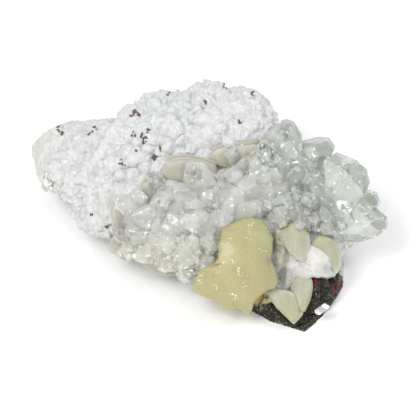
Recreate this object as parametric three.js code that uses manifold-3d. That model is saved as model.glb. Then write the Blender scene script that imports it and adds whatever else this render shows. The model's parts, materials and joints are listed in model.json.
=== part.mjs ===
// Apophyllite with stilbite: a hand specimen broken from the lining of a basalt cavity.
// A white knobbly zeolite crust covers a plate of basalt. Stilbite fans stand on the crust, a druse of clear
// apophyllite crystals has grown across its middle, and a yellow stilbite sheaf sits in front of the druse.
//
// Millimetres and degrees. The part's frame has +X right, +Y away from the viewer and +Z up, with the origin
// on the flat underside of the basalt. The minerals are laid out on the display face, a plane through the
// origin that is tipped up from the table: there x runs right, y up the face, and z out of it, to the viewer.

import * as THREE from "three";
import { ConvexGeometry } from "three/addons/geometries/ConvexGeometry.js";
import { mergeVertices } from "three/addons/utils/BufferGeometryUtils.js";
import Module from "manifold-3d";

// Driving dimensions of the whole specimen
const FACE_TIP = 40; // angle between the display face and the table
const GAP = 0.3; // clearance left between neighbouring pieces
const TABLE_SIDE = 400; // side of the block below the table, which cuts the underside flat
const WELD = 1e-3; // corners closer than this are one corner
const OUTLINE_STEPS = 8; // steps along an outline's curve from one of its points to the next
const LUMP_STEEPNESS = 1.3; // how deep the creases between round lumps are

// White crust: a plate whose middle layer falls away up the face and towards the left end
const CRUST_DETAIL = 9;
const CRUST_CENTRE = [-4, 24];
const CRUST_MIDDLE = 10;
const CRUST_FALL_UP = 0.36;
const CRUST_FALL_LEFT = 0.16;
const CRUST_FALL_LEFT_FROM = -20;
const CRUST_FRONT = 8;
const CRUST_BACK = 16;
const CRUST_EDGE_POWER = 4;
const CRUST_ROOTING_SHARE = 0.96; // what grows on the rim is rooted as far in as this
const CRUST_LUMP_SPACING = 8;
const CRUST_LUMP_HEIGHT = 3;
const CRUST_OUTLINE = [
  [-55.5, 29], [-53, 38], [-49.5, 41], [-40, 42], [-32.5, 43], [-28, 43], [-23, 48], [-18.5, 50.5],
  [-13.5, 51.5], [-8.5, 51], [-5, 52], [-3, 54], [0, 55.5], [3, 55], [6, 52.5], [8, 51], [10.5, 53],
  [13, 52.5], [16.5, 50.5], [20, 47], [22, 42], [27, 33], [36.5, 24], [43, 13], [41, 3], [40, -7],
  [35, -10], [30.5, -12.5], [24.5, -16], [16, -13], [8, -11], [-1, -5.5], [-11.5, -1], [-20.5, 2.5],
  [-28.5, 5.5], [-37, 7], [-41.5, 11.5], [-44.5, 17.5], [-49, 20.5], [-54, 26],
];
// Broad swellings of the crust: x, y, radius, height
const CRUST_LOBES = [
  [-17.5, 40, 15, 4.5], [8, 43, 13, 3.5], [0, 49, 8, 3], [-40, 30, 15, 3], [-34, 15, 11, 2.5],
  [-23, 28, 13, 3.5], [-7, 39, 11, 2.5], [34, -3, 9, 7],
];

// Basalt: a broken plate laid out in plan, thin at the front left, with a thick block at the right
const BASALT_COLUMNS = 34;
const BASALT_RINGS = 12;
const BASALT_CENTRE = [5, 3];
const BASALT_FRONT_HEIGHT = 3.5;
const BASALT_BLOCK_HEIGHT = 8.5;
const BASALT_BLOCK_FROM = 27;
const BASALT_BLOCK_TO = 35;
const BASALT_RISE_BACK = 0.17;
const BASALT_FRONT_Y = -20;
const BASALT_EDGE_POWER = 12;
const BASALT_BREAKS = 9; // size of the ring on which the broken edge's notches are drawn, in notches
const BASALT_LUMP_SPACING = 6;
const BASALT_LUMP_HEIGHT = 2;
const BASALT_OUTLINE = [
  [12, -19.5], [20, -25], [26, -30], [31, -26], [34.5, -20.5], [40, -15.5], [41, -6], [38, 8], [33, 26],
  [18, 37], [-4, 40], [-22, 36], [-33, 25], [-31, 15], [-16, 3], [-2, -9],
];
// The basalt stays below this line up the display face wherever it comes out in front of the crust's middle
const BASALT_CREST = -6;

// Apophyllite: square prisms capped by a steep pyramid that the flat end cuts short
const PYRAMID_SLOPE = 60.4; // angle between a pyramid face and the flat end
const FLAT_END_LEAST = 0.25; // how far below the apex the flat end lies, in half widths
const FLAT_END_MOST = 1.1;
const CRYSTAL_ROOT = 4; // how far a crystal runs below the crust's surface
const CRYSTAL_UNEVENNESS = 0.16;
const CRYSTAL_SEED = 11;
// Crystals: root x, root y, heading (0 is right, 90 up the face), tilt off the face, reach, half width
const CRYSTALS = [
  [17, 24.5, 80, 60, 12.5, 5.2], [21.5, 28, 80, 70, 14.5, 5.4], [17, 30, 72, 68, 9, 3],
  [23, 26, 20, 65, 6.5, 3.4], [17, 17.5, 22, 60, 9, 3.6], [29, 29.5, 35, 70, 10.5, 4.2],
  [39, 18, 86, 60, 13.5, 6], [41, 19, 60, 60, 11, 4.5],
  [34, 19, 112, 45, 9, 4.2], [42, 11, 0, 74, 12, 4.3], [43, 15.5, 20, 65, 9, 4],
  [39.5, 13, -40, 60, 6.5, 3.6], [35.5, 12.5, -90, 30, 6, 3.2], [35, 8.5, -80, 55, 5.5, 2.6],
  [29.5, 17.5, 40, 20, 6, 2.5], [30.5, 12.5, -20, 20, 5.5, 2], [26.5, 18.5, 90, 20, 6, 2.2],
  [22.5, 13.5, 200, 30, 5, 3.2], [28, 11, -70, 40, 6, 3.4], [26.5, 8, -90, 50, 5, 2.3],
  [-1.5, 23, 130, 35, 8.5, 4.6], [-15, 20, 105, 55, 6.5, 3], [-7.5, 17, 95, 45, 6.5, 3.2],
  [-13.5, 15.5, 80, 40, 6.5, 3.2], [8, 29.5, 110, 50, 5, 2.4],
  [10.5, 26.5, 90, 40, 5.5, 2.7], [0.5, 17.5, 90, 15, 6.5, 4.6],
  [8, 18.5, 60, 20, 7, 4.3], [-20.5, 11, 120, 62, 9.5, 3.3], [-25, 7, 130, 30, 6, 2.8],
  [-16.5, 11, 105, 40, 7, 3.4], [-9, 9.5, 50, 35, 7.5, 3.4], [-12.5, 6, -60, 25, 7, 3.6],
  [-3, 11, 180, 15, 6, 4.2], [-6, 3, 250, 25, 6.5, 4.4], [0, 5, -45, 25, 6, 3.6],
  [-17.5, 3, 230, 45, 5.5, 3], [-12.5, 1, 260, 50, 5.5, 2.8], [-22, 4.5, 220, 45, 5.5, 2.6],
  [-7, -3, 270, 50, 5, 2.6], [11.5, 14.5, 10, 78, 6, 2.6], [0, -0.5, 265, 40, 6, 3.2],
  [12.5, 22, 200, 25, 7, 3.8], [4, 21, 90, 25, 6, 3],
  [-20.5, 17.5, 120, 30, 5.5, 2.6], [4.5, 12, 270, 20, 6, 3.2],
];
// Massive apophyllite that the crystals stand on: x, y, radius across the face
const DRUSE_DETAIL = 1;
const DRUSE_HEIGHT = 3.6;
const DRUSE_BED = [
  [-20, 11, 8], [-12, 15, 9], [-10, 5, 9], [-1, 17, 10], [-1, 8, 8], [8, 19, 9], [17, 23, 9], [25, 25, 8],
  [25, 15, 7], [35, 18, 9], [39, 14, 7],
];
const END_CRYSTAL = [-48.5, 23, 245, 80, 2.8, 1.3];

// Stilbite fans: stacked flat plates that open upwards from a root. Each has its root on the display face,
// its height over the crust there, the angle at which it leans out, and its outline
const FAN_LAYERS = 3;
const FAN_LAYER_SHRINK = 0.1;
const FANS = {
  stilbite_fan_back_left: {
    root: [-6, 22], stand: -1, lean: 22, layer: 1.1, colour: "stilbite_tan",
    outline: [[-15.5, 26], [-13.5, 29.8], [-11, 31.3], [-8.5, 31.8], [-4, 31.5], [-0.5, 30.5], [2.5, 29],
      [3.5, 27], [1, 23], [-13, 22]],
  },
  stilbite_fan_back_right: {
    root: [8, 27], stand: -1.5, lean: 22, layer: 1, colour: "stilbite_tan",
    outline: [[-2.5, 30.5], [0.5, 33], [3, 34.5], [6, 34.8], [9, 35.3], [12, 35.5], [15, 36], [17, 32],
      [14, 27], [2, 27]],
  },
  stilbite_fan_left: {
    root: [-18, 16], stand: -1, lean: 20, layer: 0.9, colour: "stilbite_tan",
    outline: [[-22.5, 18], [-21, 21.5], [-19, 24], [-17, 25.5], [-14.5, 23], [-15.5, 17], [-20, 15]],
  },
  stilbite_fan_left_edge: {
    root: [-25.5, 9], stand: 1, lean: 14, layer: 1, colour: "stilbite_tan",
    outline: [[-29.5, 13], [-28.5, 15.8], [-25.5, 16.5], [-23, 14], [-23, 9.5], [-27, 8], [-29, 9.5]],
  },
  stilbite_fan_corner: {
    root: [-23, 5.5], stand: -1.5, lean: -12, layer: 1.2, colour: "stilbite_tan",
    outline: [[-30, 2.5], [-29, 6.8], [-26, 8], [-20, 5], [-19.5, 1.5], [-22, 0.3], [-24.5, -0.5],
      [-26, 1.2]],
  },
  stilbite_fan_underside: {
    root: [-14, 2], stand: -2.5, lean: -14, layer: 1.4, colour: "stilbite_tan",
    outline: [[-22.5, 2.5], [-16, 3.5], [-9, 1], [-8, -2.2], [-10.2, -4.4], [-13, -4.8], [-15.5, -4],
      [-19.5, -1.5]],
  },
  stilbite_pale_front_left: {
    root: [25, -17], stand: 5.2, lean: -4, layer: 1.3, colour: "stilbite_pale",
    outline: [[18, -11], [20.5, -9.3], [23.5, -9.2], [27, -9.5], [28, -13.5], [26, -19.8], [23, -17.5],
      [20, -14.8]],
  },
  stilbite_pale_front_right: {
    root: [28, -15], stand: 3.6, lean: -2, layer: 1.5, colour: "stilbite_pale",
    outline: [[26, -9], [27, -6.4], [29, -5.3], [31, -6.6], [31.2, -12], [29.3, -15.6], [26.6, -18.6],
      [26, -14]],
  },
  stilbite_pale_middle: {
    root: [26, 8], stand: 0.5, lean: -12, layer: 1.4, colour: "stilbite_pale",
    outline: [[21, 8], [24.5, 10], [30.5, 9], [30.8, 3.5], [28.8, 0.8], [26.6, -0.8], [24.3, 0.8], [21.8, 4]],
  },
  stilbite_pale_right: {
    root: [35, 6], stand: 1.5, lean: -10, layer: 1.8, colour: "stilbite_pale",
    outline: [[29.5, 4.5], [31.5, 7.5], [36, 8], [40, 6], [40.4, -0.8], [38.4, -3], [34.5, -2.6], [31, -0.8]],
  },
};

// Yellow stilbite sheaf: one thick rounded body with a toothed rim, ribbed from its middle out to the teeth
const SHEAF_CENTRE = [10, -2];
const SHEAF_COLUMNS = 52;
const SHEAF_RINGS = 8;
const SHEAF_TOOTH = 0.45;
const SHEAF_STAND = 1.5;
const SHEAF_FRONT = 7.5;
const SHEAF_BACK = 9;
const SHEAF_EDGE_POWER = 2.6;
const SHEAF_OUTLINE = [
  [12, 13], [9.5, 12], [7.5, 11.5], [5.5, 10.5], [4, 9], [3.5, 7], [3, 5], [3, 2.5], [2.5, 0.5], [2, -1.2],
  [-1, -2], [-3, -3.5], [-4, -6], [-4.5, -9], [-3, -10.5], [2.5, -12.5], [5, -15], [9.5, -14.8],
  [11.2, -16.5], [13, -15], [14, -12], [16.5, -9.5], [20, -8], [20.5, -5.5], [19.5, -1.5], [19.2, 3],
  [19.6, 6], [18.8, 8.5], [17, 11], [15, 12.3],
];

// A pale chip held by the basalt's right-hand face: place in the part's frame, half sizes and turn
const CHIP_PLACE = [33.8, -23.6, 5.2];
const CHIP_HALF_SIZE = [1.3, 1, 1.6];
const CHIP_TURN = [20, 25, 40];
const CHIP_SHEAR = 0.4;

const COLOURS = {
  crust: { color: 0xeeedea, roughness: 0.9, metalness: 0 },
  basalt: { color: 0x33322d, roughness: 0.75, metalness: 0 },
  apophyllite: { color: 0xd4dad8, roughness: 0.12, metalness: 0, transparent: true, opacity: 0.6 },
  stilbite_tan: { color: 0xbfb89c, roughness: 0.4, metalness: 0 },
  stilbite_yellow: { color: 0xc9bf8b, roughness: 0.35, metalness: 0 },
  stilbite_pale: { color: 0xdcd8c6, roughness: 0.4, metalness: 0 },
};

const wasm = await Module();
wasm.setup();
const tip = THREE.MathUtils.degToRad(FACE_TIP);

/** A seeded random source, so that every build gives the same specimen. */
function randomSource(seed) {
  let state = seed;
  return () => {
    state = (state * 1664525 + 1013904223) % 4294967296;
    return state / 4294967296;
  };
}

/** Three repeatable numbers from 0 to 1 for a cell of a grid. */
function cellJitter(i, j, k) {
  const wave = Math.sin(i * 127.1 + j * 311.7 + k * 74.7) * 43758.5453;
  const share = wave - Math.floor(wave);
  return [share, (share * 57.31) % 1, (share * 913.7) % 1];
}

/** Height of close-packed round lumps at a point: near 0 in the creases and 1 on the crowns. */
function lumpHeight(x, y, z, spacing) {
  const [px, py, pz] = [x / spacing, y / spacing, z / spacing];
  const [ci, cj, ck] = [Math.floor(px), Math.floor(py), Math.floor(pz)];
  let nearest = Infinity;
  for (let i = ci - 1; i <= ci + 1; i++)
    for (let j = cj - 1; j <= cj + 1; j++)
      for (let k = ck - 1; k <= ck + 1; k++) {
        const [dx, dy, dz] = cellJitter(i, j, k);
        nearest = Math.min(nearest, Math.hypot(i + dx - px, j + dy - py, k + dz - pz));
      }
  return Math.max(0, 1 - LUMP_STEEPNESS * nearest * nearest);
}

/** A closed three.js geometry as a solid that can be joined and cut, its skin moved out where it has grown. */
function solidOf(geometry, grow = 0) {
  const bare = new THREE.BufferGeometry().setAttribute("position", geometry.getAttribute("position"));
  if (geometry.index) bare.setIndex(geometry.index);
  const merged = mergeVertices(bare, WELD);
  merged.computeVertexNormals();
  const normals = merged.attributes.normal.array;
  const vertProperties = merged.attributes.position.array.map((value, i) => value + grow * normals[i]);
  const triVerts = new Uint32Array(merged.index.array);
  return new wasm.Manifold(new wasm.Mesh({ numProp: 3, vertProperties, triVerts }));
}

/** The largest single body of a solid: cutting can leave loose slivers beside it. */
function largestBody(solid) {
  return solid.decompose().reduce((a, b) => (a.volume() > b.volume() ? a : b));
}

/** A named three.js mesh of a solid. */
function meshOf(name, solid, colour) {
  const { vertProperties, triVerts } = largestBody(solid).getMesh();
  const geometry = new THREE.BufferGeometry();
  geometry.setAttribute("position", new THREE.BufferAttribute(vertProperties, 3));
  geometry.setIndex(new THREE.BufferAttribute(triVerts, 1));
  geometry.computeVertexNormals();
  const material = new THREE.MeshStandardMaterial({ ...COLOURS[colour], flatShading: true });
  const mesh = new THREE.Mesh(geometry, material);
  mesh.name = name;
  return mesh;
}

/** Distance from a centre to a closed outline, as a function of the direction. */
function outlineReach(outline, [centreX, centreY]) {
  const curve = new THREE.CatmullRomCurve3(outline.map(([x, y]) => new THREE.Vector3(x, y, 0)), true);
  const rays = curve.getPoints(outline.length * OUTLINE_STEPS).slice(1).map((point) => {
    const [dx, dy] = [point.x - centreX, point.y - centreY];
    return { angle: Math.atan2(dy, dx), reach: Math.hypot(dx, dy) };
  });
  rays.sort((a, b) => a.angle - b.angle);
  const [first, last] = [rays[0], rays[rays.length - 1]];
  rays.unshift({ angle: last.angle - 2 * Math.PI, reach: last.reach });
  rays.push({ angle: first.angle + 2 * Math.PI, reach: first.reach });
  return (angle) => {
    const next = rays.findIndex((ray) => ray.angle >= angle);
    const [a, b] = [rays[Math.max(0, next - 1)], rays[Math.max(1, next)]];
    const share = (angle - a.angle) / Math.max(1e-9, b.angle - a.angle);
    return THREE.MathUtils.lerp(a.reach, b.reach, share);
  };
}

/** How full a rounded plate is at a share of the way out from its centre: 1 inside, 0 at its rim. */
const plateFullness = (share, power) => Math.sqrt(Math.max(0, 1 - share ** power));

/** A ball whose poles lie on the z axis, with that many columns round it and rings from pole to pole. */
const ribbedBall = (columns, rings) => new THREE.SphereGeometry(1, columns, rings).rotateX(Math.PI / 2);

/**
 * A rounded plate: a ball spread so that its equator lies reach(angle) out from the centre.
 * surface(x, y, fullness, side) gives the height on the front (side 1) and on the back (side -1).
 */
function plate(ball, reach, centre, power, surface) {
  const position = ball.getAttribute("position");
  const vertex = new THREE.Vector3();
  for (let i = 0; i < position.count; i++) {
    vertex.fromBufferAttribute(position, i).normalize();
    const polar = Math.acos(THREE.MathUtils.clamp(vertex.z, -1, 1)) / (Math.PI / 2);
    const side = polar <= 1 ? 1 : -1;
    const share = polar <= 1 ? polar : 2 - polar;
    const angle = Math.atan2(vertex.y, vertex.x);
    const radius = share * reach(angle);
    const x = centre[0] + radius * Math.cos(angle);
    const y = centre[1] + radius * Math.sin(angle);
    position.setXYZ(i, x, y, surface(x, y, plateFullness(share, power), side));
  }
  return ball;
}

const crustReach = outlineReach(CRUST_OUTLINE, CRUST_CENTRE);

/** Height of the crust's middle layer above the display face. */
function crustMiddle(x, y) {
  const left = Math.max(0, CRUST_FALL_LEFT_FROM - x);
  return CRUST_MIDDLE - CRUST_FALL_UP * Math.max(0, y) - CRUST_FALL_LEFT * left;
}

/** Height of the crust's front or back where it is as full as given. */
function crustSurface(x, y, fullness, side) {
  const middle = crustMiddle(x, y);
  const lump = CRUST_LUMP_HEIGHT * lumpHeight(x, y, side * middle, CRUST_LUMP_SPACING) * Math.sqrt(fullness);
  if (side < 0) return middle - CRUST_BACK * fullness - lump;
  const lobe = CRUST_LOBES.reduce((highest, [lobeX, lobeY, radius, height]) => {
    const share = Math.hypot(x - lobeX, y - lobeY) / radius;
    return Math.max(highest, height * Math.sqrt(Math.max(0, 1 - share * share)));
  }, 0);
  return middle + (CRUST_FRONT + lobe) * fullness + lump;
}

/** Height of the crust's front at a place on the display face. */
function crustFront(x, y) {
  const [dx, dy] = [x - CRUST_CENTRE[0], y - CRUST_CENTRE[1]];
  const share = Math.hypot(dx, dy) / crustReach(Math.atan2(dy, dx));
  return crustSurface(x, y, plateFullness(Math.min(share, CRUST_ROOTING_SHARE), CRUST_EDGE_POWER), 1);
}

/** The crust's outer form, before the basalt and the table cut it. */
function crustForm(grow) {
  const ball = new THREE.IcosahedronGeometry(1, CRUST_DETAIL);
  return solidOf(plate(ball, crustReach, CRUST_CENTRE, CRUST_EDGE_POWER, crustSurface), grow);
}

/** Height of the basalt's top at a place in plan. */
function basaltTop(x, y) {
  const block = BASALT_BLOCK_HEIGHT * THREE.MathUtils.smoothstep(x, BASALT_BLOCK_FROM, BASALT_BLOCK_TO);
  const back = BASALT_RISE_BACK * Math.max(0, y - BASALT_FRONT_Y);
  const lump = BASALT_LUMP_HEIGHT * lumpHeight(x, y, 0, BASALT_LUMP_SPACING);
  return BASALT_FRONT_HEIGHT + block + back + lump;
}

/** The basalt plate, turned from the part's frame to the display face. */
function basaltForm(grow) {
  const outline = outlineReach(BASALT_OUTLINE, BASALT_CENTRE);
  const notch = (x, y) => BASALT_LUMP_HEIGHT * (lumpHeight(x * BASALT_BREAKS, y * BASALT_BREAKS, 0, 1) - 0.5);
  const reach = (angle) => outline(angle) + notch(Math.cos(angle), Math.sin(angle));
  const surface = (x, y, fullness, side) => (side > 0 ? basaltTop(x, y) * fullness : -fullness);
  const ball = ribbedBall(BASALT_COLUMNS, BASALT_RINGS);
  return solidOf(plate(ball, reach, BASALT_CENTRE, BASALT_EDGE_POWER, surface).rotateX(-tip), grow);
}

/** Everything below the table. */
function tableForm() {
  const block = new THREE.BoxGeometry(TABLE_SIDE, TABLE_SIDE, TABLE_SIDE).translate(0, 0, -TABLE_SIDE / 2);
  return solidOf(block.rotateX(-tip));
}

/** Everything higher up the display face than the basalt's crest, in front of the crust's middle. */
function aboveCrest(grow) {
  const block = new THREE.BoxGeometry(TABLE_SIDE, TABLE_SIDE, TABLE_SIDE);
  const place = [0, BASALT_CREST + grow + TABLE_SIDE / 2, CRUST_MIDDLE + grow + TABLE_SIDE / 2];
  return solidOf(block.translate(...place));
}

/** The corners of the convex body that lies behind every one of some planes, each a normal and a distance. */
function cornersOf(planes) {
  const corners = [];
  const corner = new THREE.Vector3();
  planes.forEach((a, i) =>
    planes.slice(i + 1).forEach((b, j) =>
      planes.slice(i + j + 2).forEach((c) => {
        const cross = new THREE.Vector3().crossVectors(b.normal, c.normal);
        const volume = a.normal.dot(cross);
        if (Math.abs(volume) < 1e-6) return;
        corner.copy(cross).multiplyScalar(a.distance);
        corner.addScaledVector(new THREE.Vector3().crossVectors(c.normal, a.normal), b.distance);
        corner.addScaledVector(new THREE.Vector3().crossVectors(a.normal, b.normal), c.distance);
        corner.divideScalar(volume);
        const inside = planes.every(({ normal, distance }) => normal.dot(corner) <= distance + WELD / 10);
        if (inside) corners.push(corner.clone());
      }),
    ),
  );
  return corners;
}

/** One apophyllite crystal along +Z from its root at the origin: prism, pyramid and flat end. */
function crystalGeometry(reach, halfWidth, random) {
  const slope = THREE.MathUtils.degToRad(PYRAMID_SLOPE);
  const uneven = () => 1 + CRYSTAL_UNEVENNESS * (2 * random() - 1);
  const apex = reach + THREE.MathUtils.lerp(FLAT_END_LEAST, FLAT_END_MOST, random()) * halfWidth;
  const planes = [
    { normal: new THREE.Vector3(0, 0, 1), distance: reach },
    { normal: new THREE.Vector3(0, 0, -1), distance: CRYSTAL_ROOT },
  ];
  for (let quarter = 0; quarter < 4; quarter++) {
    const prism = (quarter + 0.5) * (Math.PI / 2);
    const pyramid = quarter * (Math.PI / 2);
    const [across, along] = [Math.sin(slope), Math.cos(slope)];
    planes.push(
      { normal: new THREE.Vector3(Math.cos(prism), Math.sin(prism), 0), distance: halfWidth * uneven() },
      {
        normal: new THREE.Vector3(Math.cos(pyramid) * across, Math.sin(pyramid) * across, along),
        distance: along * apex * uneven() ** 0.5,
      },
    );
  }
  return new ConvexGeometry(cornersOf(planes));
}

/** A crystal set on the crust at its root, turned to its heading and tilt. */
function crystalForm([rootX, rootY, heading, tilt, reach, halfWidth], random) {
  const [turn, lean] = [THREE.MathUtils.degToRad(heading), THREE.MathUtils.degToRad(tilt)];
  const axis = new THREE.Vector3(
    Math.sin(lean) * Math.cos(turn), Math.sin(lean) * Math.sin(turn), Math.cos(lean));
  const spin = new THREE.Quaternion().setFromAxisAngle(new THREE.Vector3(0, 0, 1), random() * Math.PI);
  const point = new THREE.Quaternion().setFromUnitVectors(new THREE.Vector3(0, 0, 1), axis);
  const root = new THREE.Vector3(rootX, rootY, crustFront(rootX, rootY));
  const place = new THREE.Matrix4().compose(root, point.multiply(spin), new THREE.Vector3(1, 1, 1));
  return solidOf(crystalGeometry(reach, halfWidth, random).applyMatrix4(place));
}

/** One swelling of the massive apophyllite under the crystals. */
function druseForm([x, y, radius]) {
  const ball = new THREE.IcosahedronGeometry(1, DRUSE_DETAIL).scale(radius, radius, DRUSE_HEIGHT);
  return solidOf(ball.translate(x, y, crustFront(x, y)));
}

/** An outline whose edges have moved out by the same distance all round. */
function grownOutline(corners, grow) {
  const turn = Math.sign(THREE.ShapeUtils.area(corners));
  return corners.map((corner, i) => {
    const before = corners[(i + corners.length - 1) % corners.length];
    const after = corners[(i + 1) % corners.length];
    const [inward, outward] = [corner.clone().sub(before).normalize(), after.clone().sub(corner).normalize()];
    const normal = new THREE.Vector2(inward.y + outward.y, -inward.x - outward.x);
    return corner.clone().addScaledVector(normal, (turn * grow) / (1 + inward.dot(outward)));
  });
}

/** A stilbite fan: plates stacked on each other, each a little smaller about the fan's root. */
function fanForm({ root, stand, lean, layer, outline }, grow) {
  const seat = crustFront(...root) + stand;
  const layers = Array.from({ length: FAN_LAYERS }, (_, index) => {
    const size = 1 - FAN_LAYER_SHRINK * index;
    const corners = outline.map(([x, y]) => new THREE.Vector2((x - root[0]) * size, (y - root[1]) * size));
    const shape = new THREE.Shape(grownOutline(corners, grow));
    const depth = layer * (FAN_LAYERS + index) + 2 * grow;
    const block = new THREE.ExtrudeGeometry(shape, { depth, bevelEnabled: false });
    return solidOf(block.translate(0, 0, -layer * FAN_LAYERS - grow));
  });
  const fan = layers.reduce((sum, plateSolid) => sum.add(plateSolid));
  return fan.rotate([lean, 0, 0]).translate([root[0], root[1], seat]);
}

/** The yellow stilbite sheaf. */
function sheafForm(grow) {
  const outline = outlineReach(SHEAF_OUTLINE, SHEAF_CENTRE);
  const column = (angle) => Math.round((angle / (2 * Math.PI) + 1) * SHEAF_COLUMNS) % SHEAF_COLUMNS;
  const tooth = (angle) => SHEAF_TOOTH * (2 * cellJitter(column(angle), 1, 1)[0] - 1);
  const reach = (angle) => outline(angle) + tooth(angle);
  const seat = crustFront(...SHEAF_CENTRE) + SHEAF_STAND;
  const surface = (x, y, fullness, side) => seat + (side > 0 ? SHEAF_FRONT : -SHEAF_BACK) * fullness;
  const ball = ribbedBall(SHEAF_COLUMNS, SHEAF_RINGS);
  return solidOf(plate(ball, reach, SHEAF_CENTRE, SHEAF_EDGE_POWER, surface), grow);
}

/** A pale cleavage chip, turned from the part's frame to the display face. */
function chipForm() {
  const [halfX, halfY, halfZ] = CHIP_HALF_SIZE;
  const corner = (i, j, k) =>
    new THREE.Vector3(i * halfX + k * CHIP_SHEAR, j * halfY, k * halfZ - j * CHIP_SHEAR);
  const signs = [-1, 1];
  const corners = signs.flatMap((i) => signs.flatMap((j) => signs.map((k) => corner(i, j, k))));
  const turn = new THREE.Euler(...CHIP_TURN.map(THREE.MathUtils.degToRad));
  const place = new THREE.Matrix4().makeRotationFromEuler(turn).setPosition(...CHIP_PLACE);
  return solidOf(new ConvexGeometry(corners).applyMatrix4(place).rotateX(-tip));
}

const random = randomSource(CRYSTAL_SEED);
const table = tableForm();
const basalt = basaltForm(0).subtract(aboveCrest(0)).subtract(table);
const grownBasalt = basaltForm(GAP).subtract(aboveCrest(GAP));
const crust = crustForm(0).subtract(grownBasalt).subtract(table);
const grownCrust = crustForm(GAP);

const specimen = new THREE.Group();
const displayFace = new THREE.Group();
displayFace.rotation.x = tip;
specimen.add(displayFace);
displayFace.add(meshOf("basalt_matrix", basalt, "basalt"), meshOf("white_crust", crust, "crust"));

const sheaf = sheafForm(0).subtract(grownCrust).subtract(grownBasalt).subtract(table);
displayFace.add(meshOf("stilbite_sheaf_yellow", sheaf, "stilbite_yellow"));
let grownStilbite = sheafForm(GAP);
for (const [name, fan] of Object.entries(FANS)) {
  const loose = fanForm(fan, 0).subtract(grownCrust).subtract(grownBasalt);
  displayFace.add(meshOf(name, loose.subtract(grownStilbite).subtract(table), fan.colour));
  grownStilbite = grownStilbite.add(fanForm(fan, GAP));
}

const bed = DRUSE_BED.map(druseForm).reduce((sum, form) => sum.add(form));
const crystals = CRYSTALS.map((crystal) => crystalForm(crystal, random));
const grown = crystals.reduce((sum, form) => sum.add(form), bed);
const druse = grown.subtract(grownCrust).subtract(grownStilbite).subtract(grownBasalt).subtract(table);
displayFace.add(meshOf("apophyllite_druse", druse, "apophyllite"));

const endCrystal = crystalForm(END_CRYSTAL, random).subtract(grownCrust);
displayFace.add(meshOf("apophyllite_end_crystal", endCrystal, "apophyllite"));
displayFace.add(meshOf("zeolite_chip", chipForm().subtract(grownBasalt), "crust"));

export default specimen;
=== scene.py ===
"""The looks of a hand specimen: apophyllite and stilbite on a white crust over basalt.

Everything is in metres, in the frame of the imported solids. The minerals are laid out on the display
face, a plane tipped up from the table, where x runs right, y up the face and z out of it to the viewer.
"""

import json
import logging
import math
from collections.abc import Iterator
from dataclasses import dataclass
from enum import Enum
from typing import Any

import bmesh
import bpy
import numpy as np
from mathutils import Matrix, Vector, noise
from mathutils.bvhtree import BVHTree
from mathutils.kdtree import KDTree

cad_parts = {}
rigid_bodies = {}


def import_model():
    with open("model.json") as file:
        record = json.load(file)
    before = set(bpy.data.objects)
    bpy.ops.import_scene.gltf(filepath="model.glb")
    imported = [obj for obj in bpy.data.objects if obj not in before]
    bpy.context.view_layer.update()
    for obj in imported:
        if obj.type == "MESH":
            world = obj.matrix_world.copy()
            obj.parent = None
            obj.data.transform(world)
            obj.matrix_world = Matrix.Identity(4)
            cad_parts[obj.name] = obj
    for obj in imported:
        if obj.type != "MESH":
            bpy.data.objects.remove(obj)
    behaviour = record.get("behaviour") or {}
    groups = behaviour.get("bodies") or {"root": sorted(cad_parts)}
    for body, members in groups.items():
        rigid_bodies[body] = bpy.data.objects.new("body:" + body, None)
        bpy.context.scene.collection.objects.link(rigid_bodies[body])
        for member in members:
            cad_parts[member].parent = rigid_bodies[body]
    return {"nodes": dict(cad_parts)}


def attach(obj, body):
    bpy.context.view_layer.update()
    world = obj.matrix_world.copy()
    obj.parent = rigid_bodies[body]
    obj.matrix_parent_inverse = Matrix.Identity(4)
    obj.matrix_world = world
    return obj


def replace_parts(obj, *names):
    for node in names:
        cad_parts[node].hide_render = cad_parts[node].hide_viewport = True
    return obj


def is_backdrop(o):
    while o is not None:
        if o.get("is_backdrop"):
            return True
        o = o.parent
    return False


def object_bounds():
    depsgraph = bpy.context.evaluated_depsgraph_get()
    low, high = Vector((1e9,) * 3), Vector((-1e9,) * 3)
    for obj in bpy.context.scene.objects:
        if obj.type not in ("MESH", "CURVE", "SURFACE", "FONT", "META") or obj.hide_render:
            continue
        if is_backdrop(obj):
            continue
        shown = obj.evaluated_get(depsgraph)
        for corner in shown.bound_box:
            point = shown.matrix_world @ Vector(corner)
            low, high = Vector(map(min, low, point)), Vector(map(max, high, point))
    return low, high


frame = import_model()
CAD_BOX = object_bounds()

LOG = logging.getLogger("specimen")
MM = 0.001
WELD = 1e-7
BODY = "root"
Colour = tuple[float, float, float, float]
Spot = tuple[float, float]
MeasuredSpots = tuple[tuple[float, float, float], ...]
CountedSpots = tuple[tuple[float, float, int], ...]
VARIED: Spot = (0.6, 1.3)


class Slot(Enum):
    """The record's material slots."""

    CRUST = "crust"
    BASALT = "basalt"
    APOPHYLLITE = "apophyllite"
    TAN_STILBITE = "stilbite_tan"
    YELLOW_STILBITE = "stilbite_yellow"
    PALE_STILBITE = "stilbite_pale"


class Mark(Enum):
    """Values held at each point of a skin, which its finish reads."""

    CREASE = "crease"
    CREAM = "cream"
    LILAC = "lilac"
    RUST = "rust"
    CLEAR = "clear"
    RIM = "rim"
    DEEP = "deep"
    EDGE = "edge"
    WINDOW = "window"


def paint(red: int, green: int, blue: int) -> Colour:
    """Turns a colour as it shows on a screen into light values.

    Args:
        red: The red share, from 0 to 255.
        green: The green share.
        blue: The blue share.

    Returns:
        The light values, with a full alpha.
    """
    shown = (value / 255 for value in (red, green, blue))
    light = [v / 12.92 if v <= 0.04045 else ((v + 0.055) / 1.055) ** 2.4 for v in shown]
    return (light[0], light[1], light[2], 1.0)


def smooth_step(values: np.ndarray, low: float, high: float) -> np.ndarray:
    """Runs from 0 at low to 1 at high with soft ends, and back where low is above high."""
    share = np.clip((values - low) / (high - low), 0, 1)
    return share * share * (3 - 2 * share)


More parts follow.
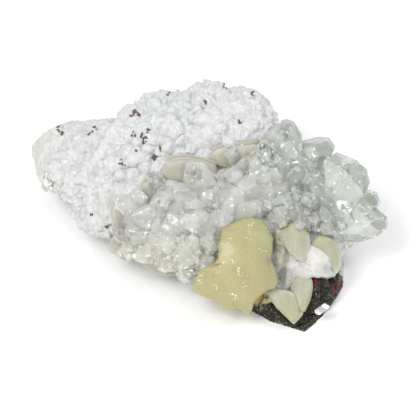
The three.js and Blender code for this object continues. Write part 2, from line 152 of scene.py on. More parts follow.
def kd_tree(points: np.ndarray) -> KDTree:
    """Makes a tree that finds the nearest of some points.

    Args:
        points: The points, one a row.

    Returns:
        The balanced tree.
    """
    tree = KDTree(len(points))
    for index, point in enumerate(points):
        tree.insert(point, index)
    tree.balance()
    return tree


def spaced(points: np.ndarray, spacing: float, rng: np.random.Generator) -> np.ndarray:
    """Picks points that lie at least a spacing apart.

    Args:
        points: The points to pick from, one a row.
        spacing: The least distance between two picked points.
        rng: The seeded source of the order in which they are tried.

    Returns:
        The picked points' indices.
    """
    tree = kd_tree(points)
    free = np.ones(len(points), bool)
    kept = []
    for index in rng.permutation(len(points)):
        if free[index]:
            kept.append(index)
            free[[other for _, other, _ in tree.find_range(points[index], spacing)]] = False
    return np.array(kept)


def unevenness(points: np.ndarray, size: float, octaves: int = 3) -> np.ndarray:
    """Gives uneven values, from about -1 to 1, that change over a given size."""
    return np.array([noise.fractal(Vector(p) / size, 1.0, 2.0, octaves) for p in points])


def unit(vectors: np.ndarray) -> np.ndarray:
    """Scales vectors, one a row, to a length of 1."""
    return vectors / np.maximum(np.linalg.norm(vectors, axis=-1, keepdims=True), 1e-12)


def across(axes: np.ndarray, spins: np.ndarray) -> tuple[np.ndarray, np.ndarray]:
    """Finds two directions square to each axis and to each other.

    Args:
        axes: Unit directions, one a row.
        spins: How far each pair is turned about its axis, in radians.

    Returns:
        The first and the second directions, one a row.
    """
    helper = np.where(np.abs(axes[:, :1]) < 0.8, (1.0, 0.0, 0.0), (0.0, 1.0, 0.0))
    first = unit(np.cross(helper, axes))
    second = np.cross(axes, first)
    cosine, sine = np.cos(spins)[:, None], np.sin(spins)[:, None]
    return first * cosine + second * sine, second * cosine - first * sine


def object_of(name: str, points: np.ndarray, faces: list[list[int]], smooth: bool) -> bpy.types.Object:
    """Makes a mesh object and puts it in the scene.

    Args:
        name: The piece's name.
        points: The corners, one a row.
        faces: The corners' indices round each face.
        smooth: True where the surface is shaded as a curve.

    Returns:
        The new object.
    """
    mesh = bpy.data.meshes.new(name)
    mesh.from_pydata(points, [], faces)
    mesh.polygons.foreach_set("use_smooth", [smooth] * len(faces))
    mesh.update()
    made = bpy.data.objects.new(name, mesh)
    bpy.context.scene.collection.objects.link(made)
    return made


def seat(
    piece: bpy.types.Object, material: bpy.types.Material, slot: Slot, *nodes: str
) -> bpy.types.Object:
    """Gives a piece its material and ties it to the specimen's one body.

    Args:
        piece: The piece.
        material: Its material.
        slot: The record's material slot for the piece; not used.
        nodes: The solids that it stands for, if any.

    Returns:
        The same piece.
    """
    piece.data.materials.clear()
    piece.data.materials.append(material)
    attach(piece, BODY)
    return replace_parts(piece, *nodes) if nodes else piece


def note(mesh: bpy.types.Mesh, mark: Mark, values: np.ndarray) -> None:
    """Keeps a value at each point of a mesh for its finish to read."""
    attribute = mesh.attributes.new(mark.value, "FLOAT", "POINT")
    attribute.data.foreach_set("value", values.astype(np.float32))


def repeated(faces: list[list[int]], corners: int, count: int) -> list[list[int]]:
    """Lists the same faces again for each of several like bodies.

    Args:
        faces: The faces of one body.
        corners: How many corners one body has.
        count: How many bodies there are.

    Returns:
        The faces of them all.
    """
    return [[corner + corners * body for corner in face] for body in range(count) for face in faces]


def welded(node: str) -> bmesh.types.BMesh:
    """Copies a solid with its faces joined at their corners.

    Args:
        node: The solid's name.

    Returns:
        The copy.
    """
    body = bmesh.new()
    body.from_mesh(frame["nodes"][node].data)
    bmesh.ops.remove_doubles(body, verts=body.verts, dist=WELD)
    return body


def tree_of(node: str) -> BVHTree:
    """Makes a tree for casting rays at a solid and finding its nearest place."""
    mesh = frame["nodes"][node].data
    return BVHTree.FromPolygons([v.co for v in mesh.vertices], [p.vertices for p in mesh.polygons])


@dataclass(frozen=True)
class DisplayFace:
    """The plane that the minerals are laid out on. Its own measures are in millimetres."""

    tip: float = math.radians(40)

    def axes(self, lean: float = 0.0) -> np.ndarray:
        """Gives the right, up and out directions, one a row, leaned out by an angle in radians."""
        cosine, sine = math.cos(self.tip + lean), math.sin(self.tip + lean)
        return np.array([(1, 0, 0), (0, cosine, sine), (0, -sine, cosine)])

    def place(self, x: float, y: float, out: float) -> np.ndarray:
        """Gives the point in the specimen's frame for a place on the face."""
        return np.array((x, y, out)) @ self.axes() * MM

    def measure(self, points: np.ndarray) -> np.ndarray:
        """Gives x, y and out on the face for points in the specimen's frame."""
        return points @ self.axes().T / MM


FACE = DisplayFace()


@dataclass(frozen=True)
class PhotoView:
    """The photograph's point of view, and where its pixels fall on the specimen."""

    aim: tuple[float, float, float] = (0.0, 15.3, 12.0)
    distance: float = 693.3
    lens: float = 200.0
    sensor: float = 36.0
    pixel: float = 0.3
    middle: Spot = (208.0, 208.0)

    def eye(self) -> np.ndarray:
        """Gives the camera's place."""
        x, y, out = self.aim
        return FACE.place(x, y, out + self.distance)

    def on_face(self, spot: Spot, out: float) -> Spot:
        """Finds the place on the display face that a pixel shows.

        Args:
            spot: The pixel, right and down from the photograph's corner.
            out: How far out of the face the place lies.

        Returns:
            The place, right and up the face.
        """
        size = self.pixel * (self.distance + self.aim[2] - out) / self.distance
        x = self.aim[0] + (spot[0] - self.middle[0]) * size
        y = self.aim[1] - (spot[1] - self.middle[1]) * size
        return x, y

    def spot_on(self, tree: BVHTree, spot: Spot) -> tuple[np.ndarray, np.ndarray] | None:
        """Finds what a pixel of the photograph shows of a solid.

        Args:
            tree: The solid's tree.
            spot: The pixel, right and down from the photograph's corner.

        Returns:
            The place and the surface's direction there, or None where the solid isn't met.
        """
        ray = FACE.place(*self.on_face(spot, self.aim[2]), self.aim[2]) - self.eye()
        found, normal, _, _ = tree.ray_cast(Vector(self.eye()), Vector(unit(ray)))
        return None if found is None else (np.array(found), np.array(normal))

    def places_on(self, tree: BVHTree, spots: MeasuredSpots) -> list[tuple[np.ndarray, float]]:
        """Finds what several pixels show of a solid.

        Args:
            tree: The solid's tree.
            spots: Each pixel, and a measure that goes with it.

        Returns:
            The place and the measure of each pixel that meets the solid.
        """
        met = [(self.spot_on(tree, (right, down)), measure) for right, down, measure in spots]
        return [(found[0], measure) for found, measure in met if found is not None]

    def strewn_on(
        self, tree: BVHTree, spots: CountedSpots, spread: float, rng: np.random.Generator
    ) -> Iterator[np.ndarray]:
        """Strews places on a solid round pixels of the photograph.

        Args:
            tree: The solid's tree.
            spots: Each pixel, and how many places lie round it.
            spread: How far round it they lie, in pixels.
            rng: The seeded source.

        Yields:
            Each place that meets the solid.
        """
        for right, down, count in spots:
            for _ in range(count):
                spot = np.array((right, down)) + spread * rng.normal(size=2)
                found = self.spot_on(tree, tuple(spot))
                if found is not None:
                    yield found[0]


VIEW = PhotoView()


@dataclass(frozen=True)
class Zone:
    """A part of the display face round a middle, in millimetres, with its soft edge in half sizes."""

    middle: Spot
    half: Spot
    edge: Spot

    def oval(self, x: np.ndarray, y: np.ndarray) -> np.ndarray:
        """Gives how full the zone is at places on the face, as an oval."""
        away = np.hypot((x - self.middle[0]) / self.half[0], (y - self.middle[1]) / self.half[1])
        return smooth_step(away, *self.edge)

    def square(self, x: np.ndarray, y: np.ndarray, bend: np.ndarray | float = 0.0) -> np.ndarray:
        """Gives how full the zone is at places on the face, as a square with bent sides."""
        right, up = np.abs(x - self.middle[0]) / self.half[0], np.abs(y - self.middle[1]) / self.half[1]
        return smooth_step(np.maximum(right, up) + bend, *self.edge)


@dataclass(frozen=True)
class Fade:
    """A change over the display face, from none to full, in millimetres."""

    across: Spot
    up: Spot

    def at(self, x: np.ndarray, y: np.ndarray) -> np.ndarray:
        """Gives how full the change is at places on the face."""
        return smooth_step(x, *self.across) * smooth_step(y, *self.up)


class Shader:
    """A material's nodes, built round one surface shader."""

    def __init__(self, name: str) -> None:
        """Starts a material with nothing but its surface shader.

        Args:
            name: The material's name.
        """
        self.material = bpy.data.materials.new(name)
        self.material.use_nodes = True
        self.nodes = self.material.node_tree.nodes
        self.links = self.material.node_tree.links
        self.surface = self.nodes["Principled BSDF"]
        self.output = self.nodes["Material Output"]
        self.place = self.nodes.new("ShaderNodeTexCoord").outputs["Object"]

    def feed(self, node: bpy.types.Node, inputs: dict[str | int, Any]) -> bpy.types.Node:
        """Sets a node's inputs, or links those that are given another node's output.

        Args:
            node: The node to feed.
            inputs: A value or an output for each input, by its name or number.

        Returns:
            The same node.
        """
        for key, value in inputs.items():
            if isinstance(value, bpy.types.NodeSocket):
                self.links.new(value, node.inputs[key])
            else:
                node.inputs[key].default_value = value
        return node

    def add(self, kind: str, inputs: dict[str | int, Any], **settings: Any) -> bpy.types.Node:
        """Adds a node.

        Args:
            kind: The node's type.
            inputs: A value or an output for each input, by its name or number.
            **settings: The node's own settings.

        Returns:
            The new node.
        """
        node = self.nodes.new(kind)
        for key, value in settings.items():
            setattr(node, key, value)
        return self.feed(node, inputs)

    def clouds(self, size: float, detail: float = 3.0, roughness: float = 0.55) -> bpy.types.NodeSocket:
        """Gives soft uneven values whose patches have a given size in metres."""
        wanted = {"Vector": self.place, "Scale": 1 / size, "Detail": detail, "Roughness": roughness}
        return self.add("ShaderNodeTexNoise", wanted).outputs["Fac"]

    def grains(self, size: float) -> bpy.types.NodeSocket:
        """Gives the distance to the middle of the nearest grain, in grains of a given size."""
        wanted = {"Vector": self.place, "Scale": 1 / size}
        return self.add("ShaderNodeTexVoronoi", wanted).outputs["Distance"]

    def mark(self, mark: Mark) -> bpy.types.NodeSocket:
        """Gives the value that the skin's points hold."""
        return self.add("ShaderNodeAttribute", {}, attribute_name=mark.value).outputs["Fac"]

    def inside(self) -> bpy.types.NodeSocket:
        """Gives 1 where light meets the surface from inside the piece, and 0 from outside."""
        return self.add("ShaderNodeNewGeometry", {}).outputs["Backfacing"]

    def spread(
        self, value: bpy.types.NodeSocket, low: float, high: float, start: float = 0.0, end: float = 1.0
    ) -> bpy.types.NodeSocket:
        """Runs from start to end while a value goes from low to high."""
        wanted = {"Value": value, "From Min": low, "From Max": high, "To Min": start, "To Max": end}
        return self.add("ShaderNodeMapRange", wanted).outputs["Result"]

    def reckon(self, operation: str, first: Any, second: Any) -> bpy.types.NodeSocket:
        """Works a sum out on two values."""
        return self.add("ShaderNodeMath", {0: first, 1: second}, operation=operation).outputs[0]

    def blend(self, share: bpy.types.NodeSocket, first: Any, second: Any) -> bpy.types.NodeSocket:
        """Blends two colours, the second one coming in with the share."""
        node = self.add("ShaderNodeMix", {0: share, 6: first, 7: second}, data_type="RGBA")
        return node.outputs[2]

    def relief(self, height: bpy.types.NodeSocket, depth: float, strength: float = 1.0) -> None:
        """Lays fine relief over the surface shader's relief so far.

        Args:
            height: The relief's height, from 0 to 1.
            depth: The depth in metres that a height of 1 stands for.
            strength: The share of the relief that shows.
        """
        below = self.surface.inputs["Normal"]
        wanted = {"Height": height, "Distance": depth, "Strength": strength}
        if below.is_linked:
            wanted["Normal"] = below.links[0].from_socket
        self.links.new(self.add("ShaderNodeBump", wanted).outputs["Normal"], below)

    def finish(self, **inputs: Any) -> bpy.types.Material:
        """Sets the surface shader's inputs, written with _ for a space, and gives the material."""
        self.feed(self.surface, {key.replace("_", " "): value for key, value in inputs.items()})
        return self.material


@dataclass(frozen=True)
class CrustFinish:
    """Chalk-white zeolite: grey dust and painted shade in its creases, painted shade round its beads,
    cream at its left end, lilac at its right.
    """

    white: Colour = paint(246, 247, 247)
    shade: Colour = paint(232, 233, 233)
    cream: Colour = paint(230, 232, 216)
    lilac: Colour = paint(246, 244, 247)
    fibrous: Colour = paint(237, 235, 230)
    dust_and_shade: Colour = paint(132, 131, 128)
    bead_border_shade: Colour = paint(207, 208, 209)
    tan: Colour = paint(176, 172, 138)
    patch: float = 3 * MM
    dust_and_shade_patch: float = 5 * MM
    bead: float = 1 * MM
    bead_depth: float = 0.32 * MM
    bead_relief: float = 0.9
    bead_edge: Spot = (0.3, 0.7)
    bead_border_shade_share: Spot = (0.0, 0.45)
    dust_and_shade_range: Spot = (0.44, 0.66)
    dust_and_shade_crease: Spot = (0.4, 1.1)
    grain: float = 0.5 * MM
    grain_depth: float = 0.55 * MM
    grain_detail: Spot = (4.0, 0.7)
    roughness: float = 0.92
    shine: float = 0.25

    def material(self) -> bpy.types.Material:
        """Makes the material.

        Returns:
            The material.
        """
        shader = Shader("white_crust_finish")
        colour = shader.blend(shader.clouds(self.patch), self.white, self.shade)
        colour = shader.blend(shader.mark(Mark.LILAC), colour, self.lilac)
        colour = shader.blend(shader.mark(Mark.CREAM), colour, self.cream)
        # Painted shade: the colour darkens towards each bead's border, where small shadows fall between
        # the beads.
        between = shader.spread(shader.grains(self.bead), *self.bead_edge, *self.bead_border_shade_share)
        colour = shader.blend(between, colour, self.bead_border_shade)
        colour = shader.blend(shader.mark(Mark.RIM), colour, self.fibrous)
        colour = shader.blend(shader.mark(Mark.DEEP), colour, self.tan)
        # Grey dust and painted shade: patchily darker in the knob and bead creases and in the crevice
        # beside the sheaf.
        uneven = shader.spread(shader.clouds(self.dust_and_shade_patch), *self.dust_and_shade_range)
        crease = shader.spread(shader.mark(Mark.CREASE), *self.dust_and_shade_crease)
        dust_and_shade_share = shader.reckon("MULTIPLY", crease, uneven)
        colour = shader.blend(dust_and_shade_share, colour, self.dust_and_shade)
        shader.relief(shader.grains(self.bead), -self.bead_depth, self.bead_relief)
        shader.relief(shader.clouds(self.grain, *self.grain_detail), self.grain_depth)
        return shader.finish(
            Base_Color=colour, Roughness=self.roughness, Specular_IOR_Level=self.shine
        )


@dataclass(frozen=True)
class SpeckFinish:
    """Dull red-brown grains of iron oxide."""

    light: Colour = paint(126, 102, 94)
    dark: Colour = paint(84, 65, 60)
    patch: float = 0.5 * MM
    pit: float = 0.2 * MM
    pit_depth: float = 0.1 * MM
    roughness: float = 0.8

    def material(self) -> bpy.types.Material:
        """Makes the material.

        Returns:
            The material.
        """
        shader = Shader("brown_speck_finish")
        colour = shader.blend(shader.clouds(self.patch), self.dark, self.light)
        shader.relief(shader.clouds(self.pit), self.pit_depth)
        return shader.finish(Base_Color=colour, Roughness=self.roughness)


@dataclass(frozen=True)
class BasaltFinish:
    """Dark broken basalt with pale glints and patches of rust."""

    dark: Colour = paint(27, 26, 20)
    brown: Colour = paint(62, 58, 45)
    glint: Colour = paint(184, 182, 162)
    rust: Colour = paint(126, 32, 22)
    film_and_painted_light: Colour = paint(252, 240, 184)
    white: Colour = paint(236, 234, 231)
    patch: float = 1.6 * MM
    fleck: float = 0.55 * MM
    fleck_patch: float = 2.6 * MM
    chip: float = 1.4 * MM
    chip_depth: float = 0.9 * MM
    crumb: float = 0.5 * MM
    crumb_depth: float = 0.5 * MM
    glossy_patch: float = 0.8 * MM
    brown_range: Spot = (0.42, 0.68)
    fleck_detail: float = 2.0
    fleck_range: Spot = (0.57, 0.66)
    fleck_patch_range: Spot = (0.42, 0.6)
    fleck_share: Spot = (0.25, 1.0)
    chip_detail: Spot = (3.0, 0.6)
    crumb_detail: Spot = (3.0, 0.7)
    glossy_range: Spot = (0.4, 0.65)
    roughness: Spot = (0.28, 0.75)

    def material(self) -> bpy.types.Material:
        """Makes the material.

        Returns:
            The material.
        """
        shader = Shader("basalt_finish")
        patches = shader.spread(shader.clouds(self.patch), *self.brown_range)
        colour = shader.blend(patches, self.dark, self.brown)
        flecks = shader.spread(shader.clouds(self.fleck, self.fleck_detail), *self.fleck_range)
        chosen = shader.clouds(self.fleck_patch)
        chosen = shader.spread(chosen, *self.fleck_patch_range, *self.fleck_share)
        colour = shader.blend(shader.reckon("MULTIPLY", flecks, chosen), colour, self.glint)
        colour = shader.blend(shader.mark(Mark.RUST), colour, self.rust)
        # The pale amber film below the sheaf, painted far brighter than its own colour as painted light
        # where the sheaf shades it.
        colour = shader.blend(shader.mark(Mark.CREAM), colour, self.film_and_painted_light)
        colour = shader.blend(shader.mark(Mark.RIM), colour, self.white)
        shader.relief(shader.clouds(self.chip, *self.chip_detail), self.chip_depth)
        shader.relief(shader.clouds(self.crumb, *self.crumb_detail), self.crumb_depth)
        gloss = shader.spread(shader.clouds(self.glossy_patch), *self.glossy_range, *self.roughness)
        return shader.finish(Base_Color=colour, Roughness=gloss)


@dataclass(frozen=True)
class ClearFinish:
    """Clear to milky apophyllite, with white veils inside and painted white highlights along its edges.
    """

    name: str = "apophyllite_finish"
    milk: Colour = paint(246, 246, 241)
    cream: Colour = paint(245, 244, 231)
    green: Colour = paint(215, 217, 211)
    white: Colour = paint(252, 252, 250)
    absorbed: Colour = (0.8, 0.88, 0.84, 1.0)
    density: float = 60.0
    index: float = 1.535
    cloud: float = 4 * MM
    edge_and_window_patch: float = 1.5 * MM
    veil: float = 0.8 * MM
    veil_patch: float = 1.6 * MM
    frost_patch: float = 2 * MM
    ripple: float = 0.9 * MM
    ripple_depth: float = 0.03 * MM
    facet: float = 1.1 * MM
    facet_depth: float = 0.09 * MM
    relief: float = 0.6
    cloud_detail: float = 4.0
    cloud_range: Spot = (0.35, 0.65)
    cloud_share: Spot = (-0.2, 0.2)
    broken_range: Spot = (0.4, 0.6)
    broken_share: Spot = (0.25, 0.9)
    edge_highlight_range: Spot = (0.4, 0.62)
    edge_highlight_share: Spot = (0.05, 0.5)
    highlit_edge: Spot = (0.45, 1.0)
    shining_edge: Spot = (1.2, 1.8)
    veil_edge: Spot = (0.3, 0.16)
    veil_range: Spot = (0.5, 0.56)
    veil_milk: float = 0.6
    frost_detail: float = 4.0
    frost_range: Spot = (0.4, 0.7)
    frost: Spot = (0.02, 0.09)
    ripple_detail: float = 2.0
    radius: tuple[float, float, float] = (1.0, 1.0, 0.95)
    milkiest: float = 0.54
    clearest: float = 0.92
    milkiness: float = 1.0
    scatter: float = 3.0 * MM

    def material(self) -> bpy.types.Material:
        """Makes the material.

        Returns:
            The material.
        """
        shader = Shader(self.name)
        cloud = shader.clouds(self.cloud, self.cloud_detail)
        cloud = shader.spread(cloud, *self.cloud_range, *self.cloud_share)
        broken = shader.clouds(self.edge_and_window_patch)
        broken = shader.spread(broken, *self.broken_range, *self.broken_share)
        in_window = shader.mark(Mark.WINDOW)
        window = shader.reckon("MULTIPLY", in_window, broken)
        clear = shader.reckon("ADD", shader.reckon("ADD", shader.mark(Mark.CLEAR), cloud), window)
        edge = shader.mark(Mark.EDGE)
        # Painted highlights: white in patches along the sharp edges, and full white round the smallest
        # crystals as painted glints.
        uneven = shader.spread(shader.clouds(self.edge_and_window_patch), *self.edge_highlight_range, *self.edge_highlight_share)
        edge_highlight = shader.reckon("MULTIPLY", shader.spread(edge, *self.highlit_edge), uneven)
        edge_highlight = shader.reckon("MAXIMUM", edge_highlight, shader.spread(edge, *self.shining_edge))
        veils = shader.spread(shader.grains(self.veil), *self.veil_edge)
        chosen = shader.spread(shader.clouds(self.veil_patch), *self.veil_range)
        veils = shader.reckon("MULTIPLY", shader.reckon("MULTIPLY", veils, chosen), in_window)
        white = shader.reckon("MAXIMUM", edge_highlight, veils)
        clearness = shader.spread(clear, 0.0, 1.0, self.milkiest, self.clearest)
        kept = shader.reckon("SUBTRACT", 1.0, shader.reckon("MULTIPLY", white, self.veil_milk))
        clearness = shader.reckon("MULTIPLY", clearness, kept)
        clearness = shader.reckon("MAXIMUM", clearness, shader.inside())
        colour = shader.blend(shader.mark(Mark.CREAM), self.milk, self.cream)
        colour = shader.blend(shader.mark(Mark.DEEP), colour, self.green)
        colour = shader.blend(white, colour, self.white)
        frost = shader.clouds(self.frost_patch, self.frost_detail)
        frost = shader.spread(frost, *self.frost_range, *self.frost)
        volume = {"Color": self.absorbed, "Density": self.density}
        absorbing = shader.add("ShaderNodeVolumeAbsorption", volume)
        shader.links.new(absorbing.outputs["Volume"], shader.output.inputs["Volume"])
        shader.relief(shader.clouds(self.ripple, self.ripple_detail), self.ripple_depth, self.relief)
        shader.relief(shader.grains(self.facet), self.facet_depth, self.relief)
        return shader.finish(
            Base_Color=colour,
            Transmission_Weight=clearness,
            Roughness=frost,
            IOR=self.index,
            Subsurface_Weight=self.milkiness,
            Subsurface_Radius=self.radius,
            Subsurface_Scale=self.scatter,
        )


@dataclass(frozen=True)
class StilbiteFinish:
    """Pearly, waxy stilbite: a body colour that deepens in places, and a paler or greener rim."""

    name: str
    body: Colour
    cloudy: Colour
    rim: Colour
    deep: Colour
    scatter: float = 1.2 * MM
    waxiness: float = 0.45
    roughness: float = 0.34
    patch: float = 5 * MM
    glossy_patch: float = 0.7 * MM
    grain: float = 0.45 * MM
    grain_depth: float = 0.05 * MM
    relief: float = 0.6
    patch_range: Spot = (0.36, 0.66)
    glossy_range: Spot = (0.35, 0.65)
    glossier: float = 0.1
    duller: float = 0.15
    radius: tuple[float, float, float] = (1.0, 0.9, 0.6)
    index: float = 1.5

    def material(self) -> bpy.types.Material:
        """Makes the material.

        Returns:
            The material.
        """
        shader = Shader(self.name)
        patches = shader.spread(shader.clouds(self.patch), *self.patch_range)
        colour = shader.blend(patches, self.body, self.cloudy)
        colour = shader.blend(shader.mark(Mark.RIM), colour, self.rim)
        colour = shader.blend(shader.mark(Mark.DEEP), colour, self.deep)
        gloss = shader.clouds(self.glossy_patch)
        sheen = (self.roughness - self.glossier, self.roughness + self.duller)
        shader.relief(shader.clouds(self.grain), self.grain_depth, self.relief)
        return shader.finish(
            Base_Color=colour,
            Roughness=shader.spread(gloss, *self.glossy_range, *sheen),
            Subsurface_Weight=self.waxiness,
            Subsurface_Radius=self.radius,
            Subsurface_Scale=self.scatter,
            IOR=self.index,
        )


TAN_FINISH = StilbiteFinish(
    "tan_stilbite_finish",
    body=paint(180, 178, 165),
    cloudy=paint(170, 165, 146),
    rim=paint(190, 189, 179),
    deep=paint(150, 138, 108),
)
YELLOW_FINISH = StilbiteFinish(
    "yellow_stilbite_finish",
    body=paint(176, 171, 129),
    cloudy=paint(171, 164, 120),
    rim=paint(162, 161, 119),
    deep=paint(178, 160, 106),
    scatter=2.2 * MM,
)
PALE_FINISH = StilbiteFinish(
    "pale_stilbite_finish",
    body=paint(177, 179, 159),
    cloudy=paint(165, 166, 142),
    rim=paint(192, 192, 176),
    deep=paint(176, 171, 134),
    scatter=1.6 * MM,
)


class Skin:
    """A fine closed skin over a solid, which is shaped point by point."""

    def __init__(self, name: str, node: str, voxel: float) -> None:
        """Covers a solid with an even net of faces.

        Args:
            name: The new piece's name.
            node: The solid to cover.
            voxel: The net's spacing.
        """
        self.piece = bpy.data.objects.new(name, frame["nodes"][node].data.copy())
        bpy.context.scene.collection.objects.link(self.piece)
        self.piece.data.materials.clear()
        net = self.piece.modifiers.new("net", "REMESH")
        net.mode = "VOXEL"
        net.voxel_size = voxel
        graph = bpy.context.evaluated_depsgraph_get()
        covered = bpy.data.meshes.new_from_object(self.piece.evaluated_get(graph))
        self.piece.modifiers.clear()
        self.piece.data = covered
        self.mesh = covered
        self.mesh.polygons.foreach_set("use_smooth", [True] * len(self.mesh.polygons))
        pairs = np.empty(len(self.mesh.edges) * 2, np.int32)
        self.mesh.edges.foreach_get("vertices", pairs)
        self.pairs = pairs.reshape(-1, 2)

    @property
    def points(self) -> np.ndarray:
        """The skin's points, one a row."""
        flat = np.empty(len(self.mesh.vertices) * 3, np.float32)
        self.mesh.vertices.foreach_get("co", flat)
        return flat.reshape(-1, 3).astype(float)

    @points.setter
    def points(self, points: np.ndarray) -> None:
        """Moves the skin's points."""
        self.mesh.vertices.foreach_set("co", points.astype(np.float32).ravel())
        self.mesh.update()

    @property
    def normals(self) -> np.ndarray:
        """The directions that the skin faces at its points."""
        flat = np.empty(len(self.mesh.vertices) * 3, np.float32)
        self.mesh.vertex_normals.foreach_get("vector", flat)
        return flat.reshape(-1, 3).astype(float)

    def averaged(self, values: np.ndarray, rounds: int) -> np.ndarray:
        """Evens values out between neighbouring points.

        Args:
            values: One row or number for each point.
            rounds: How often each point takes on its neighbours' mean.

        Returns:
            The evened values.
        """
        count = np.bincount(self.pairs.ravel(), minlength=len(values)).astype(float)
        shape = (-1,) + (1,) * (values.ndim - 1)
        for _ in range(rounds):
            total = np.zeros_like(values)
            np.add.at(total, self.pairs[:, 0], values[self.pairs[:, 1]])
            np.add.at(total, self.pairs[:, 1], values[self.pairs[:, 0]])
            values = 0.5 * values + 0.5 * total / np.maximum(count, 1).reshape(shape)
        return values

    def tree(self) -> BVHTree:
        """Makes a tree for casting rays at the skin."""
        corners = [vertex.co for vertex in self.mesh.vertices]
        return BVHTree.FromPolygons(corners, [face.vertices for face in self.mesh.polygons])


@dataclass(frozen=True)
class Lumps:
    """Round lumps packed close together, of uneven size."""

    spacing: float
    height: float
    seed: int
    variety: float = 0.45
    fullness: float = 0.7
    warp: float = 0.3
    roundness: float = 0.75

    def rise(self, points: np.ndarray) -> tuple[np.ndarray, np.ndarray]:
        """Finds how high the lumps stand at each point.

        Args:
            points: The surface's points, one a row.

        Returns:
            Each point's height, which is 0 in a crease, and how near it is to a crease.
        """
        rng = np.random.default_rng(self.seed)
        noise.seed_set(self.seed)
        bend = np.array([noise.noise_vector(Vector(p) / (1.4 * self.spacing)) for p in points])
        points = points + self.warp * self.spacing * bend
        seeds = points[spaced(points, self.spacing, rng)]
        size = 1 + self.variety * (2 * rng.random(len(seeds)) - 1)
        tree = kd_tree(seeds)
        nearest = np.empty(len(points))
        second = np.empty(len(points))
        for index, point in enumerate(points):
            shares = sorted(distance / size[seed] for _, seed, distance in tree.find_n(point, 4))
            nearest[index], second[index] = shares[0], shares[1]
        reach = self.fullness * self.spacing
        round_height = np.clip(1 - (nearest / reach) ** 2, 0, 1) ** self.roundness
        crease = 1 - np.clip((second - nearest) / (0.3 * self.spacing), 0, 1)
        return self.height * round_height, crease


